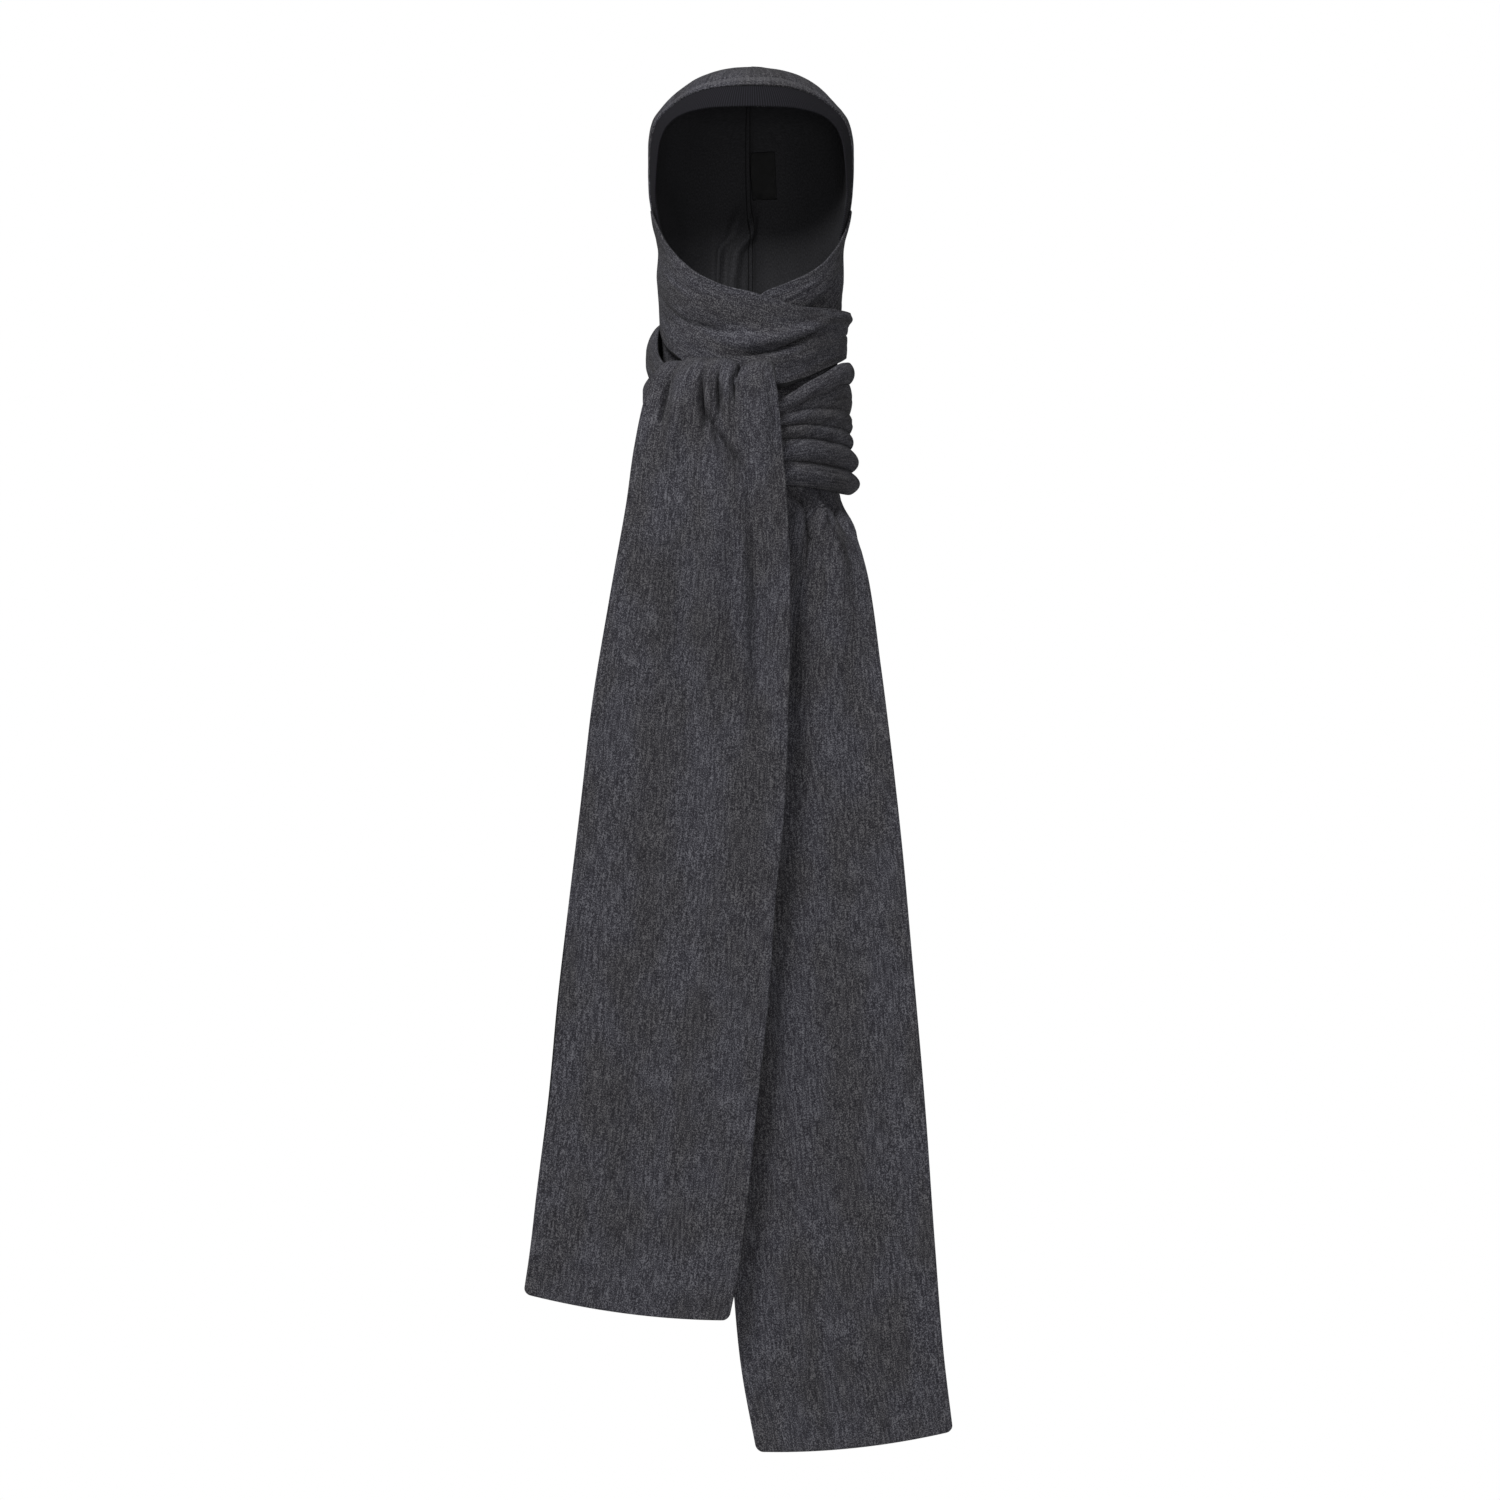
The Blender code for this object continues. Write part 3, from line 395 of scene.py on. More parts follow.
# Lengths in metres: how far the sag reaches along the tail, how far a tail's end is bowed, the cell
# of its grid, the gap at its seam, and how far the lining shows past the middle of its rim
TOP_REACH = 0.045
END_BOW = 0.0065
TAIL_CELL = 0.0068
TAIL_COLUMNS = 132
SEAM_GAP = 0.0002
ROLL_EDGE = 0.0006
RIM_SHARE = 0.6

# Powers that round the puffed folds and bend their creases, and seeds of the small waves
PUFF = 0.65
GATHER_EASE = 1.6
LEFT_SEED = 11
RIGHT_SEED = 23

# Grid of the hood, and the value of an attribute where no seam or stitch is near, in millimetres
HOOD_COLUMNS = 300
EDGE_EVENNESS = 0.55
POLE_ROW = 0.03
NOWHERE = 100.0
FINE_ROWS = 110
COARSE_ROWS = 50
RIM_ROWS = 9
RIM_DEPTH = 0.006

# The hood's hem in metres: how far it stands out, and how deep its stitched groove is
HEM_STEP = 0.0013
HEM_GROOVE = 0.0009

# Depth in metres and strength of the outer knit's fine relief
KNIT_RELIEF = (0.0011, 0.75)

# Studio: the round floor, the white surround's light, and the camera, in metres and millimetres
FLOOR_RADIUS = 1.6
FLOOR_LEVEL = -1.62
FLOOR_SIDES = 96
SURROUND_LIGHT = 0.25
CAMERA_PLACE = (-0.001, -25.06, -0.681)
CAMERA_LENS = 600.0

# How far the lining rolls on to the outer side at a tail's edge, in metres: on the left tail's
# lower edge by turn, and on the right tail's left edge by fall
LEFT_ROLL = table(
    "turn width",
    (-78.0, 0.000),
    # From turn -66 to -52 this is a narrow strip painted in the lining's black along the lower edge.
    (-66.0, 0.004),
    (-52.0, 0.006),
    (-40.0, 0.000),
    (2.0, 0.000),
    (12.0, 0.014),
    (18.0, 0.013),
    (27.0, 0.010),
    (38.0, 0.005),
    (53.0, 0.003),
    (75.0, 0.000),
)
RIGHT_ROLL = table(
    "fall width",
    (0.55, 0.0000),
    (0.64, 0.0020),
    (0.80, 0.0020),
    (0.90, 0.0000),
)


def smooth(x, xs, ys):
    """Monotone cubic curve through the points (xs, ys), read at x."""
    step = np.diff(xs)
    slope = np.diff(ys) / step
    product = slope[:-1] * slope[1:]
    total = np.where(product > 0, slope[:-1] + slope[1:], 1.0)
    middle = np.where(product > 0, 2 * product / total, 0.0)
    tangent = np.concatenate((slope[:1], middle, slope[-1:]))
    k = np.clip(np.searchsorted(xs, x) - 1, 0, len(step) - 1)
    u = np.clip((x - xs[k]) / step[k], 0.0, 1.0)
    rise = (3 - 2 * u) * u * u
    return (
        ys[k] * (1 - rise)
        + ys[k + 1] * rise
        + step[k] * u * (1 - u) * (tangent[k] * (1 - u) - tangent[k + 1] * u)
    )


def through(keys, values, x):
    """Cubic curve through the rows of values, whose tangents are parabolic, read at x."""
    step = np.diff(keys)
    shape = (-1,) + (1,) * (values.ndim - 1)
    slope = np.diff(values, axis=0) / step.reshape(shape)
    weight = (step[1:] / (step[:-1] + step[1:])).reshape(shape)
    inner = slope[:-1] * weight + slope[1:] * (1 - weight)
    tangent = np.concatenate((slope[:1], inner, slope[-1:]))
    k = np.clip(np.searchsorted(keys, x) - 1, 0, len(step) - 1)
    u = ((x - keys[k]) / step[k]).reshape(shape)
    rise = (3 - 2 * u) * u * u
    pull = tangent[k] * (1 - u) - tangent[k + 1] * u
    return values[k] * (1 - rise) + values[k + 1] * rise + step[k].reshape(shape) * u * (1 - u) * pull


def metres(name, description, default):
    """A length on the panel."""
    return bpy.props.FloatProperty(name=name, description=description, default=default, subtype="DISTANCE")


def number(name, description, default):
    """A plain number on the panel."""
    return bpy.props.FloatProperty(name=name, description=description, default=default)


def cloth_colour(name, description, default):
    """A colour on the panel."""
    return bpy.props.FloatVectorProperty(
        name=name, description=description, default=default, subtype="COLOR"
    )


class ScarfSizes(bpy.types.PropertyGroup):
    """Sizes of the worn scarf."""

    hood_width: metres("Hood width", "Over the cloth, at the temples", 0.206)
    hood_front: metres("Hood front", "From the middle axis to the front edge", 0.092)
    hood_back: metres("Hood back", "From the middle axis to the hood's back", 0.118)
    hood_height: metres("Hood height", "From the crown to the hood's bottom", 0.255)
    temple_drop: metres("Temple drop", "From the crown to where the front edge ends", 0.143)
    chin_drop: metres("Chin drop", "From the crown to where the tails cross", 0.226)
    band_width: metres("Band width", "Width of the forehead band", 0.021)
    wrap_height: metres("Wrap height", "From the chin to the lowest gather", 0.205)
    tail_width: metres("Tail width", "Across a hanging tail", 0.206)
    front_tail_fall: metres("Front tail fall", "From the knot to the front tail's end", 0.946)
    side_tail_fall: metres("Side tail fall", "From the lowest gather to the side tail's end", 0.944)
    front_tail_level: number("Front tail level", "Share of the wrap's height at its roll", 0.332)
    gather_depth: metres("Gather depth", "Height of a full puffed fold", 0.0085)
    crease_depth: metres("Crease depth", "Height of a full crease", 0.006)
    label_width: metres("Label width", "Width of the bare label", 0.032)
    label_height: metres("Label height", "Height of the bare label", 0.050)
    label_drop: metres("Label drop", "From the crown to the label's middle", 0.107)
    label_turn: number("Label turn", "Degrees round the hood to the label's middle", 172.5)
    label_tilt: number("Label tilt", "Degrees that the label is askew", 3.0)
    shell: metres("Outer cloth", "Thickness of the hood's outer cloth", 0.002)
    lining: metres("Lining cloth", "Thickness of the hood's lining", 0.001)
    tail_cloth: metres("Tail cloth", "Thickness of a lined tail", 0.003)
    band_cloth: metres("Band cloth", "Thickness of the forehead band", 0.0015)
    label_cloth: metres("Label cloth", "Thickness of the label", 0.0008)
    gap: metres("Gap", "Air between the shell and the lining", 0.0003)
    air: metres("Air", "Air between two layers of a wrap", 0.0015)
    hem: metres("Hem", "Depth of the hem along the hood's front edge", 0.008)
    corner: metres("Corner", "Radius of the rounded corners at a tail's end", 0.007)
    wrinkle: metres("Wrinkle", "Height of the cloth's small uneven waves", 0.0012)


class ScarfColours(bpy.types.PropertyGroup):
    """Colours of the cloths."""

    melange: cloth_colour("Melange", "Mean colour of the outer knit", (0.043, 0.042, 0.050))
    fleck_and_highlight: cloth_colour("Fleck", "Light fibres of the outer knit", (0.165, 0.163, 0.176))
    shade: cloth_colour("Shade", "Dark fibres of the outer knit", (0.014, 0.013, 0.017))
    lining: cloth_colour("Lining", "Black jersey of the lining", (0.026, 0.026, 0.029))
    band: cloth_colour("Band", "Rib knit of the forehead band", (0.0120, 0.0115, 0.0155))
    label: cloth_colour("Label", "Woven satin of the label", (0.0115, 0.0115, 0.012))
    floor: cloth_colour("Floor", "Pale studio floor", (0.85, 0.85, 0.85))


def noise(u, v, seed, cell):
    """Smooth waves between about -1 and 1: random heights on a square lattice, joined by a cubic step."""
    lattice = np.random.RandomState(seed).uniform(-1.0, 1.0, (64, 64))
    x = np.asarray(u) / cell + 1000.0
    y = np.asarray(v) / cell + 1000.0
    i = np.floor(x).astype(int)
    j = np.floor(y).astype(int)
    fx = x - i
    fy = y - j
    fx = (3 - 2 * fx) * fx * fx
    fy = (3 - 2 * fy) * fy * fy
    low = lattice[i % 64, j % 64] * (1 - fx) + lattice[(i + 1) % 64, j % 64] * fx
    high = lattice[i % 64, (j + 1) % 64] * (1 - fx) + lattice[(i + 1) % 64, (j + 1) % 64] * fx
    return low * (1 - fy) + high * fy


def bump(distance):
    """Rounded hump, 1 at distance 0 and 0 from distance 1 on."""
    near = np.clip(np.abs(distance), 0.0, 1.0)
    return 0.5 + 0.5 * np.cos(math.pi * near)


def ridges(rows, place):
    """Sum of rounded ridges, each with its own middle, half width and height, read at a place."""
    return sum(height * bump((place - middle) / half_width) for middle, half_width, height in rows)


def window(value, a, b, c, d):
    """0 up to a, 1 from b to c and 0 from d on, with soft ramps."""
    rise = np.clip((value - a) / (b - a), 0.0, 1.0)
    drop = np.clip((d - value) / (d - c), 0.0, 1.0)
    ramp = np.minimum(rise, drop)
    return (3 - 2 * ramp) * ramp * ramp


def unit(vectors):
    """The vectors at length 1."""
    return vectors / np.maximum(np.linalg.norm(vectors, axis=-1, keepdims=True), 1e-12)


def run_length(line):
    """Length along a line of points, from 0 at its first one."""
    return np.concatenate(([0.0], np.cumsum(np.linalg.norm(np.diff(line, axis=0), axis=1))))


def grid_normals(points):
    """Unit normals of a grid of points, from the differences along its rows and columns."""
    return unit(np.cross(np.gradient(points, axis=0), np.gradient(points, axis=1)))


class WornForm:
    """The rounded form that the worn cloth lies on, from the scarf's sizes."""

    def __init__(self, sizes):
        self.sizes = sizes
        self.top = sizes.lining + sizes.gap + sizes.shell / 2
        self.layer = sizes.tail_cloth + sizes.air

    def drop(self, row):
        """Drop below the crown at a place among the rows of SECTIONS."""
        place = np.arange(len(SECTIONS["drop"]), dtype=float)
        return smooth(row, place, SECTIONS["drop"]) * self.sizes.hood_height

    def row(self, drop):
        """Place of a drop among the rows of SECTIONS."""
        dense = np.linspace(0.0, len(SECTIONS["drop"]) - 1.0, 4000)
        return np.interp(drop, self.drop(dense), dense)

    def point(self, turn, row, out):
        """x = a sin(turn) and y = -b cos(turn), with a and b from the row, out from the cloth's middle."""
        place = np.arange(len(SECTIONS["drop"]), dtype=float)
        drop, side, front, back = (smooth(row, place, values) for values in SECTIONS.values())
        steep = np.clip(side, 0.0, 1.0)
        grow = steep * (out - self.sizes.shell / 2)
        angle = np.radians(turn)
        ahead = front * self.sizes.hood_front
        behind = back * self.sizes.hood_back
        depth = np.where(np.cos(angle) > 0, ahead, behind)
        x = (side * self.sizes.hood_width / 2 + grow) * np.sin(angle)
        y = -(depth + grow) * np.cos(angle)
        z = self.top + steep * self.sizes.shell / 2 - drop * self.sizes.hood_height
        return np.stack(np.broadcast_arrays(x, y, z), axis=-1)

    def around(self, turn, drop, out):
        """Points round the form at a drop below the crown."""
        return self.point(turn, self.row(drop), out)

    def level(self, level):
        """Drop below the crown of a level of the wrap."""
        above = self.sizes.chin_drop + level * (self.sizes.chin_drop - self.sizes.temple_drop)
        below = self.sizes.chin_drop + level * self.sizes.wrap_height
        return np.where(level < 0, above, below)

    def edge(self, turn):
        """Drop of the hood's edge: the arch, then the slanted side seam, then the level bottom."""
        away = np.abs((turn + 180.0) % 360.0 - 180.0)
        arch = smooth(np.minimum(away, TEMPLE_TURN), ARCH["turn"], ARCH["drop"]) * self.sizes.temple_drop
        share = np.clip((away - TEMPLE_TURN) / (SIDE_TURN - TEMPLE_TURN), 0.0, 1.0)
        seam = self.sizes.temple_drop + share * (self.sizes.hood_height - self.sizes.temple_drop)
        return np.where(away < TEMPLE_TURN, arch, seam)

    def folds(self, turn, drop):
        """Sum of rounded dents and swellings, fading out at the hood's edge."""
        total = np.zeros(np.broadcast(turn, drop).shape)
        for place, level, wide, tall, height in zip(*HOOD_FOLDS.values()):
            apart = (turn - place + 180.0) % 360.0 - 180.0
            near = bump(apart / wide / 2) * bump((drop / self.sizes.hood_height - level) / tall / 2)
            total += height * self.sizes.crease_depth * near
        inside = np.clip((self.edge(turn) - drop) / (EDGE_FADE * self.sizes.hood_height), 0.0, 1.0)
        return total * inside

    def shell(self, turn, row):
        """Middle surface of the hood's outer cloth."""
        return self.point(turn, row, self.folds(turn, self.drop(row)))


def creases(rows, way, s, depth):
    """Sum of rounded creases that cross the strip from one place to another along the way."""
    total = np.zeros(np.broadcast(way, s).shape)
    for start, end, start_place, end_place, half_width, height in zip(*rows.values()):
        share = (way - start) / (end - start)
        place = start_place + (end_place - start_place) * np.clip(share, 0.0, 1.0)
        total += height * depth * bump((s - place) / half_width) * bump(2 * share - 1)
    return total


def gathers(rows, share, s, depth):
    """Puffed folds side by side: each is the power PUFF of a half sine between its own two creases."""
    total = np.zeros(np.broadcast(share, s).shape)
    side = np.append(rows["side"], 1.0)
    knot = np.append(rows["knot"], 1.0)
    for k in range(len(rows["side"])):
        start = side[k] + (knot[k] - side[k]) * share
        end = side[k + 1] + (knot[k + 1] - side[k + 1]) * share
        height = rows["side_height"][k] + (rows["knot_height"][k] - rows["side_height"][k]) * share
        u = np.clip((s - start) / (end - start), 0.0, 1.0)
        total += height * depth * np.sin(math.pi * u) ** PUFF
    return total


def wrap_lines(form, wrap, s):
    """Lines across a strip along its wrap, straight between its two edges in turn, drop and layer."""
    count = len(wrap["upper_turn"])
    place = np.arange(0.0, count - 0.99, 0.5)
    values = np.stack(list(wrap.values()), axis=-1)
    upper_turn, upper_level, upper_layer, lower_turn, lower_level, lower_layer = (
        through(np.arange(count, dtype=float), values, place).T[:, :, None]
    )
    turn = upper_turn + (lower_turn - upper_turn) * s
    upper_drop = form.level(upper_level)
    drop = upper_drop + (form.level(lower_level) - upper_drop) * s
    layer = upper_layer + (lower_layer - upper_layer) * s
    return form.around(turn, drop, layer * form.layer), (upper_turn[:, 0] + lower_turn[:, 0]) / 2


def hang_lines(form, hang, level, fall_length, s):
    """Lines across a strip where it hangs, bowed out by a parabola between its two edges."""
    sizes = form.sizes
    column = {name: values[:, None] for name, values in hang.items()}
    x = column["upper_x"] + (column["lower_x"] - column["upper_x"]) * s
    y = column["upper_y"] + (column["lower_y"] - column["upper_y"]) * s
    y = y + column["swell"] * 4 * s * (1 - s)
    z = form.top + sizes.shell / 2 - form.level(level) - column["fall"] * fall_length
    lean = column["tilt"] * (x - (column["upper_x"] + column["lower_x"]) / 2)
    width = sizes.tail_width
    near_end = np.clip((column["fall"] - 0.8) / 0.2, 0.0, 1.0) ** 2
    z = z + lean * width - END_BOW * near_end * 4 * s * (1 - s)
    return np.stack(np.broadcast_arrays(x * width, y * width, z), axis=-1)


def seam_row(form, wrap, ahead):
    """The wrap's table with its first row on the hood's side seam, set ahead by a length."""
    sizes = form.sizes
    moved = {name: values.copy() for name, values in wrap.items()}
    step = math.copysign(math.degrees(ahead / (sizes.hood_width / 2)), wrap["upper_turn"][0])
    moved["upper_turn"][0] -= step
    moved["lower_turn"][0] -= step
    moved["lower_level"][0] = (sizes.hood_height - sizes.chin_drop) / sizes.wrap_height
    return moved


def edge_places(width, rim, count):
    """Places across a strip from 0 to 1: close together over the rounded rim, and even between."""
    near = rim * (1 - np.cos(np.linspace(0.0, math.pi / 2, 5)))
    inner = np.linspace(rim, width - rim, count + 1)
    return np.concatenate((near[:-1], inner, width - near[-2::-1])) / width


def tail_grid(form, wrap, hang, level, fall_length):
    """Middle surface of a whole tail: s across, v the length along its middle line, top v from the roll."""
    sizes = form.sizes
    rim = RIM_SHARE * sizes.tail_cloth
    s = edge_places(sizes.tail_width, rim, TAIL_COLUMNS)
    wound, turn = wrap_lines(form, seam_row(form, wrap, SEAM_GAP), s[None, :])
    hung = hang_lines(form, hang, level, fall_length, s[None, :])
    lines = np.concatenate((wound, hung))
    turns = np.concatenate((turn, np.full(len(hung), turn[-1])))
    middle = lines.mean(axis=1)
    length = run_length(middle)
    before = hang["fall"][0] + (length[: len(wound)] - length[len(wound)]) / fall_length
    falls = np.concatenate((before, hang["fall"]))
    whole = length[-1]
    start = rim * (1 - np.cos(np.linspace(0.0, math.pi / 2, 4)))
    finish = sizes.corner * (1 - np.cos(np.linspace(0.0, math.pi / 2, 9)))
    even = np.linspace(rim, whole - sizes.corner, round(whole / TAIL_CELL))
    v = np.concatenate((start[:-1], even, whole - finish[-2::-1]))
    points = through(length, lines, v)
    top = v - length[len(wound) + np.argmin(hang["fall"])]
    return points, s, v, top, np.interp(v, length, turns), np.interp(v, length, falls)


def rounded_ends(points, s, v, sizes):
    """The end of the tail with its two corners rounded, and how far in each edge then is."""
    left = v[-1] - v
    into = np.clip(sizes.corner - left, 0.0, sizes.corner)
    inset = (sizes.corner - np.sqrt(sizes.corner**2 - into**2)) / sizes.tail_width
    places = inset[:, None] + (1 - 2 * inset[:, None]) * s[None, :]
    shaped = points.copy()
    for k in np.flatnonzero(inset > 0):
        for axis in range(3):
            shaped[k, :, axis] = np.interp(places[k], s, points[k, :, axis])
    return shaped, places


def rim_height(distance, rim):
    """Height of a rounded rim, from 0 at the edge to 1 at its depth, as a quarter of a circle."""
    near = np.clip(1 - distance / rim, 0.0, 1.0)
    return np.sqrt(np.clip(1 - near * near, 0.0, 1.0))


def join_mesh(name, points, faces, uv, attributes):
    """A mesh object from points, quads, a UV for each point and attributes by name, smooth shaded."""
    mesh = bpy.data.meshes.new(name)
    mesh.from_pydata(points.tolist(), [], faces)
    layer = mesh.uv_layers.new(name="cloth")
    corner = np.empty(len(mesh.loops), dtype=np.int32)
    mesh.loops.foreach_get("vertex_index", corner)
    layer.data.foreach_set("uv", uv[corner].astype(np.float32).ravel())
    for key, values in attributes.items():
        made = mesh.attributes.new(key, "FLOAT", "POINT")
        made.data.foreach_set("value", values.astype(np.float32))
    work = bmesh.new()
    work.from_mesh(mesh)
    bmesh.ops.remove_doubles(work, verts=work.verts, dist=1e-6)
    bmesh.ops.recalc_face_normals(work, faces=work.faces)
    work.to_mesh(mesh)
    work.free()
    mesh.shade_smooth()
    piece = bpy.data.objects.new(name, mesh)
    bpy.context.scene.collection.objects.link(piece)
    return piece


def ring_quads(index):
    """Quads between the rows of a grid of point numbers whose columns close to a ring."""
    beside = np.roll(index, -1, axis=1)
    return np.stack((index[:-1], beside[:-1], beside[1:], index[1:]), axis=-1).reshape(-1, 4).tolist()


def ring_mesh(name, points, normal, height, uv, outer, inner):
    """A strip with two faces as one closed tube: out along the outer face and back along the inner.

    outer and inner are each face's attributes by name.
    """
    rows, columns = points.shape[:2]
    ring = 2 * columns - 2
    upper = points + normal * height[..., None]
    lower = points - normal * height[..., None]

    def around(front, back):
        """Values of the outer face followed by those of the inner one, backwards."""
        return np.concatenate((front, back[:, -2:0:-1]), axis=1)

    vertices = around(upper, lower).reshape(-1, 3)
    flat = around(uv, uv).reshape(-1, 2)
    index = np.arange(rows * ring).reshape(rows, ring)
    attributes = {key: around(outer[key], inner[key]).ravel() for key in outer}
    return join_mesh(name, vertices, ring_quads(index), flat, attributes)


def tail_piece(form, name, wrap, hang, level, fall_length, facing, relief, roll, lift=None):
    """A lined tail: its middle surface, raised by its folds, thickened to a rounded rim."""
    sizes = form.sizes
    points, s, v, top, turn, fall = tail_grid(form, wrap, hang, level, fall_length)
    if lift is not None:
        raised = smooth(s, lift["place"], lift["lift"])
        points[..., 2] += raised[None, :] * bump(top / TOP_REACH)[:, None]
    normal = grid_normals(points) * facing
    raised = relief(form, turn[:, None], fall[:, None], s[None, :], v[:, None])
    points = points + normal * raised[..., None]
    points, places = rounded_ends(points, s, v, sizes)
    normal = grid_normals(points) * facing
    rim = RIM_SHARE * sizes.tail_cloth
    across = np.minimum(s, 1 - s) * sizes.tail_width
    along = np.minimum(v, v[-1] - v)
    height = sizes.tail_cloth / 2 * rim_height(across, rim)[None, :] * rim_height(along, rim)[:, None]
    uv = np.stack(np.broadcast_arrays(places * sizes.tail_width, v[:, None]), axis=-1)
    rolled = roll(form, turn[:, None], fall[:, None], s[None, :])
    return ring_mesh(
        name,
        points,
        normal,
        height,
        uv,
        {"lining": 1000 * (rolled - ROLL_EDGE)},
        {"lining": 1000 * (ROLL_EDGE + across)[None, :] * np.ones_like(height)},
    ), v[-1]


def tail_relief(form, wound, hung, turn, fall, s, v, seed):
    """Small waves of a tail and its creases, by turn where it is wound and by fall where it hangs."""
    total = small_waves(form, s, v, seed)
    for way, tables in ((turn, wound), (fall, hung)):
        for rows in tables:
            total = total + creases(rows, way, s, form.sizes.crease_depth)
    return total


def left_relief(form, turn, fall, s, v):
    """Height of the left tail's folds, creases and small waves over its middle surface."""
    share = np.interp(turn, RETURN_RUN, (0.0, 1.0))
    folded = gathers(RETURN_FOLDS, share, s, form.sizes.gather_depth) * window(turn, *RETURN_WINDOW)
    wound, hung = (LEFT_CREASES, LEFT_WRINKLES), (LEFT_PLEATS, LEFT_PLEAT_WRINKLES)
    return tail_relief(form, wound, hung, turn, fall, s, v, LEFT_SEED) + folded


def right_relief(form, turn, fall, s, v):
    """Height of the right tail's folds, creases and small waves over its middle surface."""
    share = np.interp(-turn, GATHER_RUN, (0.0, 1.0)) ** GATHER_EASE
    folded = gathers(GATHERS, share, s, form.sizes.gather_depth) * window(-turn, *GATHER_WINDOW)
    wound, hung = (RIGHT_CREASES, RIGHT_WRINKLES), (RIGHT_PLEATS, RIGHT_PLEAT_WRINKLES)
    return tail_relief(form, wound, hung, turn, fall, s, v, RIGHT_SEED) + folded * (fall < 0)


def small_waves(form, s, v, seed):
    """Uneven waves of the cloth: two sizes of smooth noise, long down the tail."""
    u = s * form.sizes.tail_width
    wide = noise(u, v, seed, 0.045) * noise(u, v / 2, seed + 1, 0.06)
    return form.sizes.wrinkle * (wide + 0.35 * noise(u, v / 2, seed + 2, 0.016))


def left_roll(form, turn, fall, s):
    """How far inside the rolled strip of lining a point at the left tail's lower edge is."""
    width = np.interp(turn, LEFT_ROLL["turn"], LEFT_ROLL["width"])
    return width - (1 - s) * form.sizes.tail_width


def right_roll(form, turn, fall, s):
    """How far inside the rolled strip of lining a point at the front tail's left edge is."""
    width = np.interp(fall, RIGHT_ROLL["fall"], RIGHT_ROLL["width"])
    return width - s * form.sizes.tail_width


def hood_columns(form, count):
    """Turns of the hood's columns: evenly spaced along its edge, all the way round."""
    dense = np.linspace(-180.0, 180.0, 4001)
    line = form.around(dense, form.edge(dense), 0.0)
    length = run_length(line)
    blend = EDGE_EVENNESS * length / length[-1] + (1 - EDGE_EVENNESS) * (dense + 180.0) / 360.0
    return np.interp(np.linspace(0.0, 1.0, count + 1)[:-1], blend, dense)


def shell_normals(form, turn, row):
    """Unit normals of the hood's middle surface, from differences down and aside."""
    down = form.shell(turn, row + 0.02) - form.shell(turn, row - 0.02)
    aside = form.shell(turn + 0.5, row) - form.shell(turn - 0.5, row)
    return unit(np.cross(down, aside))


def cup_rows(outer, inner):
    """Places of a cup's rows, from crown to edge and back, and 1 outside, 0 inside, round a half circle."""
    angle = np.linspace(math.pi / 2, -math.pi / 2, RIM_ROWS)
    rim = 1 - RIM_DEPTH * (1 - np.cos(angle))
    down = np.linspace(0.0, 1.0, outer)[:-1]
    back = np.linspace(1.0, 0.0, inner)[1:]
    share = np.concatenate((down * rim[0], rim, back * rim[-1]))
    height = np.concatenate((np.ones(len(down)), 0.5 + 0.5 * np.sin(angle), np.zeros(len(back))))
    return share, height


def hood_piece(form, name, high, low, share, height, side, extra):
    """A cup of cloth, down its outer face to the edge and up its inner face, closed at both poles.

    share is each row's place from the crown to the edge, height its place from the outer face to
    the inner one, side whether the row belongs to the outer face, and extra the relief.
    """
    turn = hood_columns(form, HOOD_COLUMNS)[None, :]
    edge_row = form.row(form.edge(turn))
    row = np.maximum(share[:, None] * edge_row, POLE_ROW)
    middle = form.shell(turn, row)
    normal = shell_normals(form, turn, row)
    drop = form.drop(row)
    above = form.edge(turn) - drop
    out = low + (high - low) * height[:, None] + side[:, None] * extra(turn, drop, above)
    points = middle + normal * out[..., None]
    rows, columns = points.shape[:2]
    radius = form.sizes.hood_width / 2
    around = np.radians(turn) * radius * (0.35 + 0.65 * np.sin(np.clip(drop / 0.1, 0.0, 1.0) * math.pi / 2))
    uv = np.stack(np.broadcast_arrays(around, drop), axis=-1).reshape(-1, 2)
    top = [(middle[0].mean(axis=0) + (0.0, 0.0, z)) for z in (high, low)]
    vertices = np.vstack((points.reshape(-1, 3), top))
    uv = np.vstack((uv, (0.0, 0.0), (0.0, 0.0)))
    index = np.arange(rows * columns).reshape(rows, columns)
    beside = np.roll(index, -1, axis=1)
    ends = []
    for line, pole in ((0, rows * columns), (rows - 1, rows * columns + 1)):
        fan = np.stack((index[line], beside[line], np.full(columns, pole)), axis=-1)
        ends += fan.tolist()
    seam = 1000 * np.radians(turn % 360.0 - 180.0) * form.sizes.hood_back + 0 * drop
    seam = np.append(np.broadcast_to(seam, (rows, columns)).ravel(), (NOWHERE, NOWHERE))
    stitch = np.where(np.abs(turn) < TEMPLE_TURN, 1000 * above, NOWHERE) + 0 * drop
    stitch = np.concatenate((np.broadcast_to(stitch, (rows, columns)).ravel(), (NOWHERE, NOWHERE)))
    return join_mesh(name, vertices, ring_quads(index) + ends, uv, {"stitch": stitch, "seam": seam})


def outer_relief(form):
    """Relief of the hood's outer face: a thicker hem under a stitched groove, and small waves."""

    def relief(turn, drop, above):
        front = window(np.abs(turn), -2.0, -1.0, 80.0, 87.0)
        hem = form.sizes.hem
        step = HEM_STEP * np.clip((hem + 0.001 - above) / 0.002, 0.0, 1.0)
        groove = -HEM_GROOVE * bump((above - hem - 0.0012) / 0.0022)
        u = np.radians(turn) * form.sizes.hood_width / 2
        waves = form.sizes.wrinkle * (0.8 * noise(u, drop, 5, 0.05) + 0.3 * noise(u, drop, 6, 0.018))
        return front * (step + groove) + waves

    return relief


